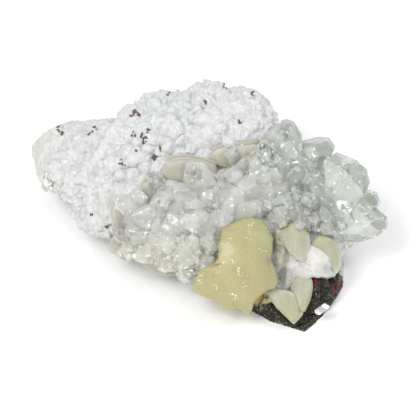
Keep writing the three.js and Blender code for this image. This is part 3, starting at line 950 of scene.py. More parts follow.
@dataclass
class WhiteCrust:
    """The white knobbly crust, with its brown specks."""

    node: str = "white_crust"
    voxel: float = 0.46 * MM
    smoothing: int = 12
    knobs: Lumps = Lumps(3.6 * MM, 2.5 * MM, 3)
    beads: Lumps = Lumps(1.6 * MM, 0.85 * MM, 5, variety=0.6, warp=0.45, roundness=0.6)
    normal_smoothing: int = 6
    swell: float = 0.6 * MM
    swell_size: float = 7 * MM
    patch_size: float = 11 * MM
    floor_gap: float = 0.02 * MM
    patch_range: Spot = (-0.5, 0.4)
    patchiness: float = 0.4
    lump_level: float = 0.6
    fewer_knobs: Spot = (0.55, 0.45)
    bead_share: float = 0.75
    more_beads: Spot = (0.5, 0.2)
    bead_dust_and_shade: float = 0.5
    calmed: tuple[float, float, float] = (0.9, 0.65, 0.75)
    left_lobe: Spot = (-24.0, -34.0)
    right_end: Spot = (0.0, 12.0)
    waxy_end: Spot = (-47.0, -51.0)
    waxy_bend: float = 2.5
    waxy_size: float = 4 * MM
    fold_start: Spot = (-26.0, 44.0)
    fold_end: Spot = (-35.5, 29.5)
    fold_height: float = 2.4 * MM
    fold_width: float = 8.0
    fold_rim: float = 2.6
    fold_ends: Spot = (6.0, 4.0)
    fold_lip: Spot = (-0.5, 0.6)
    fold_rim_ends: tuple[float, float, float] = (-1.2, 1.0, -0.5)
    bare: Zone = Zone((34.6, -9.9), (4.3, 4.2), (1.12, 0.92))
    bare_depth: float = 4.2 * MM
    bare_bend: float = 0.15
    bare_size: float = 1.5 * MM
    sunk_beside: tuple[str, ...] = (
        "stilbite_fan_back_left",
        "stilbite_fan_back_right",
        "stilbite_fan_left",
        "stilbite_fan_left_edge",
    )
    sunk_depth: float = 0.7 * MM
    sunk_reach: float = 4.5 * MM
    sunk_core: float = 0.2
    hollow: Zone = Zone((28.5, -9.5), (6.0, 6.0), (1.0, 0.3))
    hollow_depth: float = 1.6 * MM
    mound: Zone = Zone((21.2, 3.5), (2.7, 8.5), (1.0, 0.4))
    mound_height: float = 2.6 * MM
    tan_size: float = 1.2 * MM
    tan_range: Spot = (0.8, 0.4)
    crevice: Zone = Zone((22.3, -4.0), (1.3, 4.6), (1.1, 0.6))
    crevice_shade: float = 0.75
    warm: Zone = Zone((-30.0, 16.0), (6.0, 6.0), (1.0, 1 / 3))
    warmth: float = 0.5
    waxy_cream: float = 0.7
    left_cream: float = 0.15
    lilac: Fade = Fade((2.0, 16.0), (20.0, 32.0))
    fibrous: Zone = Zone((31.0, -4.0), (12.0, 12.0), (1.0, 0.7))
    fibrous_start: Spot = (21.5, 25.0)
    fibre: float = 0.1 * MM
    fibre_size: tuple[float, float, float] = (0.5 * MM, 3 * MM, 3 * MM)
    speck_size: float = 0.42 * MM
    speck_spread: float = 1.4
    speck_roughness: float = 0.35
    speck_seed: int = 21
    specks: CountedSpots = (
        (57, 128, 5), (62, 133, 6), (95, 128, 4), (91, 133, 3), (134, 110, 8), (137, 114, 8),
        (133, 115, 4), (139, 115, 5), (134, 134, 5), (141, 136, 6), (148, 131, 4), (145, 139, 4),
        (143, 143, 3), (155, 157, 14), (122, 164, 6), (160, 149, 3), (137, 150, 3), (91, 213, 4),
        (108, 225, 4), (168, 93, 3), (206, 102, 5), (225, 86, 5), (239, 122, 8), (252, 94, 4),
    )

    def build(self, material: bpy.types.Material, speck_finish: SpeckFinish) -> list[bpy.types.Object]:
        """Builds the crust and its specks.

        Args:
            material: The crust's material.
            speck_finish: The specks' finish.

        Returns:
            The two pieces.
        """
        skin = Skin("knobbly_white_crust", self.node, self.voxel)
        self.shape(skin)
        crust = seat(skin.piece, material, Slot.CRUST, self.node)
        return [crust, self.build_specks(skin, speck_finish)]

    def fold(self, x: np.ndarray, y: np.ndarray) -> tuple[np.ndarray, np.ndarray]:
        """Lays the upper lobe over the left one along a line, with a smooth rim.

        Args:
            x: The points' places across the display face, in millimetres.
            y: Their places up the face.

        Returns:
            The height of the overlap at each point, and how much of the rim's smoothness it has.
        """
        start, end = np.array(self.fold_start), np.array(self.fold_end)
        run = (end - start) / np.linalg.norm(end - start)
        along = (x - start[0]) * run[0] + (y - start[1]) * run[1]
        over = (y - start[1]) * run[0] - (x - start[0]) * run[1]
        length = np.linalg.norm(end - start)
        first, last = self.fold_ends
        ends = smooth_step(along, -first, 0) * smooth_step(along, length + last, length - last)
        lip = smooth_step(over, *self.fold_lip) * np.exp(-np.maximum(over, 0) / self.fold_width)
        outer, past, before = self.fold_rim_ends
        inside = smooth_step(over, self.fold_rim + past, self.fold_rim + before)
        return self.fold_height * ends * lip, ends * smooth_step(over, outer, 0) * inside

    def sunk(self, points: np.ndarray) -> np.ndarray:
        """Sinks the crust beside the fans that grow out of it, and behind the front ones.

        Args:
            points: The crust's points, one a row.

        Returns:
            How far each point sinks, less than nothing on the tan mound.
        """
        trees = [tree_of(node) for node in self.sunk_beside]
        gap = np.array([min(tree.find_nearest(point)[3] for tree in trees) for point in points])
        x, y, _ = FACE.measure(points).T
        sunk = self.sunk_depth * smooth_step(gap, self.sunk_reach, self.sunk_core * self.sunk_reach)
        sunk += self.hollow_depth * self.hollow.oval(x, y)
        return sunk - self.mound_height * self.mound.oval(x, y)

    def drawn_back(self, points: np.ndarray) -> np.ndarray:
        """Draws the crust back where the block of basalt shows through it.

        Args:
            points: The crust's points, one a row.

        Returns:
            How far each point draws back.
        """
        x, y, _ = FACE.measure(points).T
        bend = self.bare_bend * unevenness(points, self.bare_size)
        return self.bare_depth * self.bare.square(x, y, bend)

    def shape(self, skin: Skin) -> None:
        """Raises the knobs, beads and fibres, and marks the creases for dust and painted shade, and the
        colour casts.

        Args:
            skin: The crust's skin.
        """
        points = skin.averaged(skin.points, self.smoothing)
        skin.points = points
        normals = unit(skin.averaged(skin.normals, self.normal_smoothing))
        x, y, _ = FACE.measure(points).T
        knobs, knob_crease = self.knobs.rise(points)
        beads, bead_crease = self.beads.rise(points)
        left = smooth_step(x, *self.left_lobe)
        right = smooth_step(x, *self.right_end)
        fibrous = self.fibrous.oval(x, y)
        waxy = smooth_step(x + self.waxy_bend * unevenness(points, self.waxy_size), *self.waxy_end)
        fold, fold_rim = self.fold(x, y)
        calm = zip(self.calmed, (fibrous, waxy, fold_rim))
        smooth = math.prod(1 - share * place for share, place in calm)
        patch = smooth_step(unevenness(points, self.patch_size), *self.patch_range)
        knob_share = 1 - self.fewer_knobs[0] * left - self.fewer_knobs[1] * right
        knob_share = knob_share * (1 - self.patchiness * (1 - patch)) * smooth
        bead_share = self.bead_share + self.more_beads[0] * left + self.more_beads[1] * right
        bead_share = bead_share * smooth
        height = (knobs - self.lump_level * self.knobs.height) * knob_share
        height += (beads - self.lump_level * self.beads.height) * bead_share
        height += self.swell * unevenness(points, self.swell_size) + fold - self.sunk(points)
        height += self.fibre * fibrous * unevenness(points / self.fibre_size, 1.0)
        moved = points + normals * height[:, None]
        moved -= FACE.axes()[2] * self.drawn_back(points)[:, None]
        moved[:, 2] = np.maximum(moved[:, 2], self.floor_gap)
        skin.points = moved
        # The crease mark carries grey dust and painted shade. It is strongest in the creases and in the
        # crevice beside the sheaf.
        crevice = self.crevice.oval(x, y)
        crease = np.maximum(knob_crease * knob_share, self.bead_dust_and_shade * bead_crease * bead_share)
        note(skin.mesh, Mark.CREASE, np.maximum(crease * (1 - fibrous), self.crevice_shade * crevice))
        warm = np.maximum(self.left_cream * left, self.warmth * self.warm.oval(x, y))
        note(skin.mesh, Mark.CREAM, np.maximum(self.waxy_cream * waxy, warm))
        tan = self.tan_range[0] + self.tan_range[1] * unevenness(points, self.tan_size)
        note(skin.mesh, Mark.DEEP, tan * np.maximum(self.mound.oval(x, y), crevice))
        note(skin.mesh, Mark.LILAC, self.lilac.at(x, y))
        note(skin.mesh, Mark.RIM, fibrous * smooth_step(x, *self.fibrous_start))

    def build_specks(self, skin: Skin, finish: SpeckFinish) -> bpy.types.Object:
        """Strews small brown grains on the crust.

        Args:
            skin: The shaped crust that carries them.
            finish: The grains' finish.

        Returns:
            The grains, as one piece.
        """
        rng = np.random.default_rng(self.speck_seed)
        ball = bmesh.new()
        bmesh.ops.create_icosphere(ball, subdivisions=1, radius=1)
        corners = np.array([v.co for v in ball.verts])
        sides = [[v.index for v in f.verts] for f in ball.faces]
        ball.free()
        points = []
        for place in VIEW.strewn_on(skin.tree(), self.specks, self.speck_spread, rng):
            size = self.speck_size * rng.uniform(*VARIED, 3)
            rough = 1 + self.speck_roughness * (rng.random((len(corners), 1)) - 0.5)
            points.append(corners * rough * size + place)
        faces = repeated(sides, len(corners), len(points))
        piece = object_of("brown_specks", np.concatenate(points), faces, smooth=False)
        return seat(piece, finish.material(), Slot.CRUST)


@dataclass(frozen=True)
class Breaks:
    """The flat chips of a broken surface, each tilted its own way."""

    spacing: float
    depth: float
    tilt: float
    seed: int

    def rise(self, points: np.ndarray) -> np.ndarray:
        """Gives how high the chips stand at each point.

        Args:
            points: The surface's points, one a row.

        Returns:
            Each point's height.
        """
        rng = np.random.default_rng(self.seed)
        seeds = points[spaced(points, self.spacing, rng)]
        level = self.depth * rng.uniform(-0.5, 0.5, len(seeds))
        slope = self.tilt * unit(rng.normal(size=(len(seeds), 3)))
        tree = kd_tree(seeds)
        nearest = np.array([tree.find(point)[1] for point in points])
        return level[nearest] + np.sum(slope[nearest] * (points - seeds[nearest]), axis=1)


@dataclass
class BasaltMatrix:
    """The dark broken basalt, with a flat underside."""

    node: str = "basalt_matrix"
    voxel: float = 0.42 * MM
    smoothing: int = 4
    normal_smoothing: int = 4
    chips: tuple[Breaks, ...] = (
        Breaks(3.6 * MM, 1.3 * MM, 0.45, 31),
        Breaks(1.5 * MM, 0.5 * MM, 0.4, 32),
    )
    crumble: float = 0.5 * MM
    crumb_size: float = 1.2 * MM
    flat_below: float = 0.5 * MM
    block: Zone = Zone((34.8, -10.0), (4.6, 5.0), (1.15, 0.85))
    block_facing: Spot = (0.0, 0.4)
    block_rise: float = 1.8 * MM
    stain_edge: Spot = (1.2, 0.7)
    stain_bend: float = 0.6
    stain_size: float = 1.5 * MM
    rust_spots: MeasuredSpots = (
        (315, 282, 4.0), (334, 290, 5.0), (341, 285, 5.0), (322, 279, 2.5),
    )
    # Patches of pale amber film, painted bright as painted light where the sheaf shades them.
    film_and_painted_light_spots: MeasuredSpots = (
        (258, 296, 8.0), (266, 295, 8.0), (273, 297, 6.0), (264, 300, 6.0), (194, 275, 7.0),
        (190, 272, 6.0),
    )
    white_spots: MeasuredSpots = (
        (338, 262, 8.0), (340, 270, 8.0), (342, 277, 6.0),
    )

    def build(self, finish: BasaltFinish) -> list[bpy.types.Object]:
        """Builds the basalt.

        Args:
            finish: The basalt's finish.

        Returns:
            The one piece.
        """
        skin = Skin("broken_basalt", self.node, self.voxel)
        points = skin.averaged(skin.points, self.smoothing)
        points[:, 2] = np.maximum(points[:, 2], 0)
        skin.points = points
        normals = unit(skin.averaged(skin.normals, self.normal_smoothing))
        height = sum(breaks.rise(points) for breaks in self.chips)
        height = height + self.crumble * unevenness(points, self.crumb_size, 4)
        free = smooth_step(points[:, 2], self.flat_below, 3 * self.flat_below)
        moved = points + normals * (height * free)[:, None]
        moved += FACE.axes()[2] * self.stood_out(points, normals)[:, None]
        moved[:, 2] = np.maximum(moved[:, 2], 0)
        skin.points = moved
        note(skin.mesh, Mark.RUST, self.stain(points, self.rust_spots))
        note(skin.mesh, Mark.CREAM, self.stain(points, self.film_and_painted_light_spots))
        note(skin.mesh, Mark.RIM, self.stain(points, self.white_spots))
        return [seat(skin.piece, finish.material(), Slot.BASALT, self.node)]

    def stood_out(self, points: np.ndarray, normals: np.ndarray) -> np.ndarray:
        """Stands the block at the right out through the crust.

        Args:
            points: The basalt's points, one a row.
            normals: The directions that the surface has there.

        Returns:
            How far each point stands out.
        """
        x, y, _ = FACE.measure(points).T
        facing = smooth_step(normals @ FACE.axes()[2], *self.block_facing)
        return self.block_rise * self.block.square(x, y) * facing

    def stain(self, points: np.ndarray, spots: MeasuredSpots) -> np.ndarray:
        """Stains the basalt in patches.

        Args:
            points: The basalt's points.
            spots: Each patch's middle pixel and its radius in pixels.

        Returns:
            How stained each point is.
        """
        stained = np.zeros(len(points))
        edge = self.stain_bend * unevenness(points, self.stain_size)
        for place, radius in VIEW.places_on(tree_of(self.node), spots):
            distance = np.linalg.norm(points - place, axis=1) / (radius * VIEW.pixel * MM)
            stained = np.maximum(stained, smooth_step(distance + edge, *self.stain_edge))
        return stained


@dataclass(frozen=True)
class CrystalHabit:
    """A crystal's faces: a square prism, a steep pyramid turned by an eighth, and a flat end."""

    steepness: float = math.tan(math.radians(60.4))

    def corners(
        self, reach: np.ndarray, width: np.ndarray, blunt: np.ndarray, root: np.ndarray
    ) -> np.ndarray:
        """Works out crystals along +Z from roots at the origin.

        Args:
            reach: How far each flat end lies above its root.
            width: Each prism's half width.
            blunt: How far each flat end lies below the pyramid's apex, in half widths.
            root: How far each crystal goes on below its root.

        Returns:
            Sixteen corners for each crystal.
        """
        apex = reach + blunt * width
        end = blunt * width * math.sqrt(2) / self.steepness
        shoulder = apex - self.steepness * math.sqrt(2) * width
        peak = apex - self.steepness * width / math.sqrt(2)
        rows = []
        for across_width, height in ((width, -root), (width, shoulder)):
            for right, up in ((1, 1), (-1, 1), (-1, -1), (1, -1)):
                rows.append((right * across_width, up * across_width, height))
        for across_width, height in ((width, peak), (end, reach)):
            for right, up in ((1, 0), (0, 1), (-1, 0), (0, -1)):
                rows.append((right * across_width, up * across_width, height))
        return np.stack([np.stack(row, axis=-1) for row in rows], axis=1)

    @staticmethod
    def faces() -> list[list[int]]:
        """Lists the corners round each face of one crystal.

        Returns:
            The ten faces.
        """
        listed = [[3, 2, 1, 0], [12, 13, 14, 15]]
        for quarter in range(4):
            before, after = (quarter + 3) % 4, (quarter + 1) % 4
            listed.append([before, quarter, 4 + quarter, 8 + quarter, 4 + before])
            listed.append([4 + quarter, 8 + after, 12 + after, 12 + quarter, 8 + quarter])
        return listed


@dataclass(frozen=True)
class Crowd:
    """Small crystals strewn over the druse, between two heights over the crust."""

    spacing: float
    slimmest: float
    widest: float
    lowest: float
    highest: float
    across: Spot = (-60.0, 60.0)
    up: Spot = (-60.0, 60.0)

    def holds(self, points: np.ndarray, above: np.ndarray) -> np.ndarray:
        """Tells which points of the druse the crowd may stand on.

        Args:
            points: Points on the druse, one a row.
            above: How far each lies over the crust.

        Returns:
            True for each point that is in the crowd's part of the druse.
        """
        x, y, _ = FACE.measure(points).T
        fit = (above > self.lowest) & (above < self.highest)
        return fit & (x > self.across[0]) & (x < self.across[1]) & (y > self.up[0]) & (y < self.up[1])


@dataclass
class ApophylliteDruse:
    """The druse of clear crystals, with the small ones that crowd between the large."""

    node: str = "apophyllite_druse"
    end_node: str = "apophyllite_end_crystal"
    carrier: str = "white_crust"
    habit: CrystalHabit = CrystalHabit()
    seed: int = 47
    crowds: tuple[Crowd, ...] = (
        Crowd(8.5 * MM, 1.8 * MM, 3.0 * MM, 1.0 * MM, 5.0 * MM, across=(-60.0, 10.0), up=(5.0, 60.0)),
        Crowd(2.3 * MM, 0.35 * MM, 0.85 * MM, 0.6 * MM, 6.0 * MM, across=(-34.0, 6.0), up=(-8.0, 9.0)),
        Crowd(6.5 * MM, 0.6 * MM, 1.1 * MM, 1.0 * MM, 5.0 * MM),
        Crowd(3.2 * MM, 0.12 * MM, 0.26 * MM, 1.0 * MM, 14 * MM),
    )
    slenderness: Spot = (1.1, 2.0)
    bluntness: Spot = (0.2, 0.85)
    clear_of: tuple[str, ...] = (
        "stilbite_sheaf_yellow",
        "stilbite_fan_back_left",
        "stilbite_fan_back_right",
        "stilbite_fan_left",
        "stilbite_fan_left_edge",
        "stilbite_fan_corner",
        "stilbite_fan_underside",
    )
    end_on: MeasuredSpots = (
        (307, 200, 1.5), (308, 181, 1.5), (307, 213, 1.1), (315, 219, 1.1), (296, 197, 1.2),
        (289, 205, 1.5), (326, 230, 1.7), (297, 206, 0.9), (343, 226, 1.3), (268, 206, 1.6),
        (282, 222, 1.5), (300, 225, 1.5), (307, 228, 1.2), (316, 228, 1.4), (334, 233, 1.4),
    )
    milky_height: float = 2.5 * MM
    clear_height: float = 12 * MM
    clear_share: float = 0.1
    windows: MeasuredSpots = (
        (287, 127, 2.6), (270, 152, 4.0), (252, 150, 1.6), (295, 166, 1.9), (345, 172, 3.0),
        (347, 181, 2.4), (122, 232, 2.6), (155, 182, 3.2), (196, 176, 2.4), (277, 195, 2.0),
        (307, 200, 1.1), (308, 181, 1.1), (225, 170, 1.6), (219, 179, 1.4), (240, 172, 1.6),
        (240, 151, 1.8), (166, 207, 2.0), (212, 205, 2.2),
    )
    finest: float = 0.8 * MM
    splits: int = 5
    sharp: float = math.radians(18)
    shine: float = 2.0
    shine_reach: float = 0.35 * MM
    tries: int = 6000
    clearance: float = 1.6
    backmost: float = -0.2
    outward: float = 0.5
    scatter: float = 0.45
    end_on_scatter: float = 0.25
    end_on_sunk: float = 0.3 * MM
    window_bend: float = 0.7
    window_size: float = 2.2 * MM
    window_fade: Spot = (1.5 * MM, 0.4 * MM)
    creamy: Fade = Fade((8.0, -4.0), (14.0, 2.0))
    green: Spot = (8.0, 32.0)

    def build(self, finish: ClearFinish) -> list[bpy.types.Object]:
        """Builds the druse, and dresses the lone crystal at the crust's end.

        Args:
            finish: The crystals' finish.

        Returns:
            The druse and the lone crystal.
        """
        druse = self.start("crowded_apophyllite")
        small = bpy.data.collections.new("small_crystals")
        crystals, shining = self.small_crystals(druse)
        for corners in crystals:
            made = bpy.data.meshes.new("small_crystal")
            made.from_pydata(corners, [], self.habit.faces())
            small.objects.link(bpy.data.objects.new("small_crystal", made))
        self.grow_together(druse, small)
        self.refine(druse, shining)
        self.note_clearness(druse)
        end = frame["nodes"][self.end_node]
        end.data.materials.clear()
        end.data.materials.append(ClearFinish("clear_crystal_finish", milkiest=0.75).material())
        return [seat(druse, finish.material(), Slot.APOPHYLLITE, self.node), end]

    def start(self, name: str) -> bpy.types.Object:
        """Starts the druse from its solid.

        Args:
            name: The new piece's name.

        Returns:
            The piece, with flat faces.
        """
        body = welded(self.node)
        mesh = bpy.data.meshes.new(name)
        body.to_mesh(mesh)
        body.free()
        mesh.polygons.foreach_set("use_smooth", [False] * len(mesh.polygons))
        piece = bpy.data.objects.new(name, mesh)
        bpy.context.scene.collection.objects.link(piece)
        return piece

    def surface_points(
        self, druse: bpy.types.Object, count: int, rng: np.random.Generator
    ) -> tuple[np.ndarray, np.ndarray]:
        """Strews points evenly over the druse.

        Args:
            druse: The druse.
            count: How many points.
            rng: The seeded source.

        Returns:
            The points and the directions that the faces have there.
        """
        mesh = druse.data
        mesh.calc_loop_triangles()
        places = np.array([v.co for v in mesh.vertices])
        corners = places[np.array([t.vertices for t in mesh.loop_triangles])]
        cross = np.cross(corners[:, 1] - corners[:, 0], corners[:, 2] - corners[:, 0])
        area = np.linalg.norm(cross, axis=1)
        chosen = rng.choice(len(area), count, p=area / area.sum())
        first, second = rng.random((2, count, 1))
        flip = first + second > 1
        first, second = np.where(flip, 1 - first, first), np.where(flip, 1 - second, second)
        picked = corners[chosen]
        points = picked[:, 0] + first * (picked[:, 1] - picked[:, 0])
        return points + second * (picked[:, 2] - picked[:, 0]), unit(cross[chosen])

    def stand(
        self, roots: np.ndarray, axes: np.ndarray, width: np.ndarray, rng: np.random.Generator
    ) -> np.ndarray:
        """Stands crystals up at their roots.

        Args:
            roots: Where each crystal comes out of the druse.
            axes: The way that each one points.
            width: Each prism's half width.
            rng: The seeded source of their lengths, ends and turns.

        Returns:
            Sixteen corners for each crystal.
        """
        count = len(roots)
        first, second = across(axes, rng.uniform(0, math.pi, count))
        reach = width * rng.uniform(*self.slenderness, count)
        local = self.habit.corners(reach, width, rng.uniform(*self.bluntness, count), 2 * width)
        right, up, along = np.split(local, 3, axis=2)
        return roots[:, None] + right * first[:, None] + up * second[:, None] + along * axes[:, None]

    def small_crystals(self, druse: bpy.types.Object) -> tuple[np.ndarray, np.ndarray]:
        """Works out the small crystals' corners.

        Args:
            druse: The druse that they stand on.

        Returns:
            Sixteen corners for each crystal, and the places of the smallest ones, which shine white.
        """
        rng = np.random.default_rng(self.seed)
        crust = tree_of(self.carrier)
        others = [tree_of(node) for node in self.clear_of]
        out = FACE.axes()[2]
        made = []
        for crowd in self.crowds:
            points, normals = self.surface_points(druse, self.tries, rng)
            above = np.array([crust.find_nearest(p)[3] for p in points])
            gap = np.array([min(tree.find_nearest(p)[3] for tree in others) for p in points])
            fit = crowd.holds(points, above) & (normals @ out > self.backmost)
            fit &= gap > self.clearance * crowd.widest
            points, normals = points[fit], normals[fit]
            chosen = spaced(points, crowd.spacing, rng)
            strewn = self.scatter * rng.normal(size=(len(chosen), 3))
            axes = unit(normals[chosen] + self.outward * out + strewn)
            width = rng.uniform(crowd.slimmest, crowd.widest, len(chosen))
            made.append(self.stand(points[chosen], axes, width, rng))
        shining = made[-1].mean(axis=1)
        for place, width in VIEW.places_on(tree_of(self.node), self.end_on):
            axes = unit(out + self.end_on_scatter * rng.normal(size=(1, 3)))
            root = place[None] - self.end_on_sunk * axes
            made.append(self.stand(root, axes, np.array([width * MM]), rng))
        return np.concatenate(made), shining

    def refine(self, druse: bpy.types.Object, shining: np.ndarray) -> None:
        """Splits the flat faces up, so that they hold marks inside them, and marks their edges for
        painted highlights.

        Args:
            druse: The druse.
            shining: The places of the smallest crystals, which are marked more strongly, for painted
                white glints.
        """
        body = bmesh.new()
        body.from_mesh(druse.data)
        bmesh.ops.triangulate(body, faces=body.faces)
        for _ in range(self.splits):
            long = [edge for edge in body.edges if edge.calc_length() > self.finest]
            bmesh.ops.subdivide_edges(body, edges=long, cuts=1)
            bmesh.ops.triangulate(body, faces=body.faces)
        marked = body.verts.layers.float.new(Mark.EDGE.value)
        tree = kd_tree(shining)
        for edge in body.edges:
            if edge.is_manifold and edge.calc_face_angle_signed() > self.sharp:
                for vertex in edge.verts:
                    vertex[marked] = self.shine if tree.find(vertex.co)[2] < self.shine_reach else 1.0
        body.to_mesh(druse.data)
        body.free()

    def note_clearness(self, druse: bpy.types.Object) -> None:
        """Marks how clear the crystals are: milky at the crust, clearer at tips and in some windows.

        Args:
            druse: The druse.
        """
        mesh = druse.data
        points = np.array([v.co for v in mesh.vertices])
        crust = tree_of(self.carrier)
        above = np.array([crust.find_nearest(p)[3] for p in points])
        clear = self.clear_share * smooth_step(above, self.milky_height, self.clear_height)
        window = np.zeros(len(points))
        bent = 1 + self.window_bend * unevenness(points, self.window_size)
        for place, radius in VIEW.places_on(tree_of(self.node), self.windows):
            distance = bent * np.linalg.norm(points - place, axis=1) / radius
            window = np.maximum(window, smooth_step(distance, *self.window_fade))
        x, y, _ = FACE.measure(points).T
        note(mesh, Mark.CLEAR, clear)
        note(mesh, Mark.WINDOW, window)
        note(mesh, Mark.CREAM, self.creamy.at(x, y))
        note(mesh, Mark.DEEP, smooth_step(x, *self.green))

    @staticmethod
    def grow_together(druse: bpy.types.Object, small: bpy.types.Collection) -> None:
        """Joins the small crystals to the druse, so that it is one closed body.

        Args:
            druse: The druse.
            small: The small crystals, which are gone afterwards.
        """
        join = druse.modifiers.new("grown together", "BOOLEAN")
        join.operation = "UNION"
        join.solver = "MANIFOLD"
        join.operand_type = "COLLECTION"
        join.collection = small
        graph = bpy.context.evaluated_depsgraph_get()
        joined = bpy.data.meshes.new_from_object(druse.evaluated_get(graph))
        druse.modifiers.clear()
        druse.data = joined
        for crystal in list(small.objects):
            bpy.data.objects.remove(crystal)
        bpy.data.collections.remove(small)


@dataclass
class StilbiteFan:
    """A fan of stilbite plates that open from a root, each stepped back from the one behind it."""

    node: str
    root: Spot
    lean: float
    seed: int
    slot: Slot = Slot.TAN_STILBITE
    plates: int = 3
    shrink: float = 0.08
    droop: float = 0.13
    crown: float = 0.5
    roof: float | None = None
    growth: float = 1.0
    rounding: int = 4
    fibre: float = 0.07
    fibres: int = 120
    blade: float = 1.4
    raggedness: float = 0.22
    rim_points: int = 130
    rings: tuple[float, ...] = (1.0, 0.985, 0.93, 0.84, 0.72, 0.58, 0.42, 0.24)
    rim_fullness: float = 0.9
    thinning: float = 0.6
    lift: float = 0.0
    depth: float = 0.7
    overlap: float = 0.1
    step_range: Spot = (0.2, 1.0)
    tip_range: Spot = (-1.0, 0.4)
    fewest_blades: int = 8
    hub_reach: float = 0.85
    hub_steps: int = 18
    rim_sharpness: int = 6
    deep_reach: Spot = (0.6, 0.1)
    leaf: tuple[Spot, ...] | None = None

    def build(self, material: bpy.types.Material) -> bpy.types.Object:
        """Builds the fan.

        Args:
            material: The stilbite's material.

        Returns:
            The one piece.
        """
        rng = np.random.default_rng(self.seed)
        axes = FACE.axes(math.radians(self.lean))
        solid = np.array([v.co for v in frame["nodes"][self.node].data.vertices]) @ axes.T / MM
        root = (FACE.place(*self.root, 0) @ axes.T / MM)[:2]
        out = FACE.measure(solid @ axes * MM)[:, 2].mean()
        outline = self.hull(solid[:, :2]) if self.leaf is None else self.leaf_corners(axes, out)
        outline = self.evened(outline)
        steps = np.cumsum(rng.uniform(*self.step_range, self.plates))
        bottom, top = solid[:, 2].min(), solid[:, 2].max() - self.crown
        levels = np.interp(steps, (0, steps[-1]), (bottom, top)) + self.lift
        sizes = self.growth - self.shrink * np.cumsum(rng.uniform(0, 1, self.plates)) / self.plates * 2
        points = []
        for layer in range(self.plates):
            front = layer == self.plates - 1
            rim = self.rim(outline, root, sizes[layer], rng)
            plate = self.plate(rim, root, levels[layer] - bottom, self.crown if front else 0.0, rng)
            plate[:, 2] += levels[layer]
            points.append(plate)
            bottom = levels[layer] - self.overlap
        share = np.concatenate([np.repeat(self.rings, self.rim_points)] * 2 + [np.zeros(2)])
        away = np.linalg.norm(np.concatenate(points)[:, :2] - root, axis=1)
        corners = np.concatenate(points) @ axes * MM
        corners[:, 2] = np.maximum(corners[:, 2], 0)
        faces = repeated(self.plate_faces(), len(share), self.plates)
        piece = object_of(f"{self.node}_plates", corners, faces, smooth=True)
        note(piece.data, Mark.RIM, np.tile(share**self.rim_sharpness, self.plates))
        note(piece.data, Mark.DEEP, self.depth * smooth_step(away / away.max(), *self.deep_reach))
        return seat(piece, material, self.slot, self.node)

    @staticmethod
    def hull(spots: np.ndarray) -> np.ndarray:
        """Finds the solid's outline on the plates' plane.

        Args:
            spots: The solid's corners on that plane.

        Returns:
            The outline's corners, against the clock.
        """
        ordered = spots[np.lexsort((spots[:, 1], spots[:, 0]))]
        chain: list[np.ndarray] = []
        for direction in (ordered, ordered[::-1]):
            side: list[np.ndarray] = []
            for spot in direction:
                while len(side) > 1 and np.cross(side[-1] - side[-2], spot - side[-2]) <= 0:
                    side.pop()
                side.append(spot)
            chain.extend(side[:-1])
        return np.array(chain)

    def leaf_corners(self, axes: np.ndarray, out: float) -> np.ndarray:
        """Works out the outline's corners on the plates' plane from pixels of the photograph.

        Args:
            axes: The plane's right, up and out directions.
            out: How far out on the display face the plates lie.

        Returns:
            The outline's corners, against the clock.
        """
        places = np.array([FACE.place(*VIEW.on_face(spot, out), out) for spot in self.leaf])
        return (places @ axes.T / MM)[:, :2]

    def evened(self, corners: np.ndarray) -> np.ndarray:
        """Rounds an outline off.

        Args:
            corners: The outline's corners, against the clock.

        Returns:
            Points at even steps along the rounded outline.
        """
        corners = np.concatenate([corners, corners[:1]])
        along = np.concatenate([[0], np.cumsum(np.linalg.norm(np.diff(corners, axis=0), axis=1))])
        steps = np.linspace(0, along[-1], self.rim_points, endpoint=False)
        rim = np.stack([np.interp(steps, along, corners[:, axis]) for axis in (0, 1)], axis=1)
        for _ in range(self.rounding):
            rim = 0.5 * rim + 0.25 * (np.roll(rim, 1, axis=0) + np.roll(rim, -1, axis=0))
        return rim

    def rim(
        self, outline: np.ndarray, root: np.ndarray, size: float, rng: np.random.Generator
    ) -> np.ndarray:
        """Works out a plate's rim of blade tips.

        Args:
            outline: The fan's outline.
            root: Where the plates open from.
            size: The plate's size as a share of the fan's.
            rng: The seeded source of the tips.

        Returns:
            The rim's points.
        """
        rim = root + size * (outline - root)
        length = np.linalg.norm(np.roll(rim, -1, axis=0) - rim, axis=1).sum()
        blades = max(self.fewest_blades, int(length / self.blade))
        tips = rng.uniform(*self.tip_range, blades) * self.raggedness
        share = np.arange(self.rim_points) / self.rim_points * blades
        tooth = np.interp(share, np.arange(blades + 1), np.append(tips, tips[0]))
        return rim + unit(rim - rim.mean(axis=0)) * tooth[:, None]

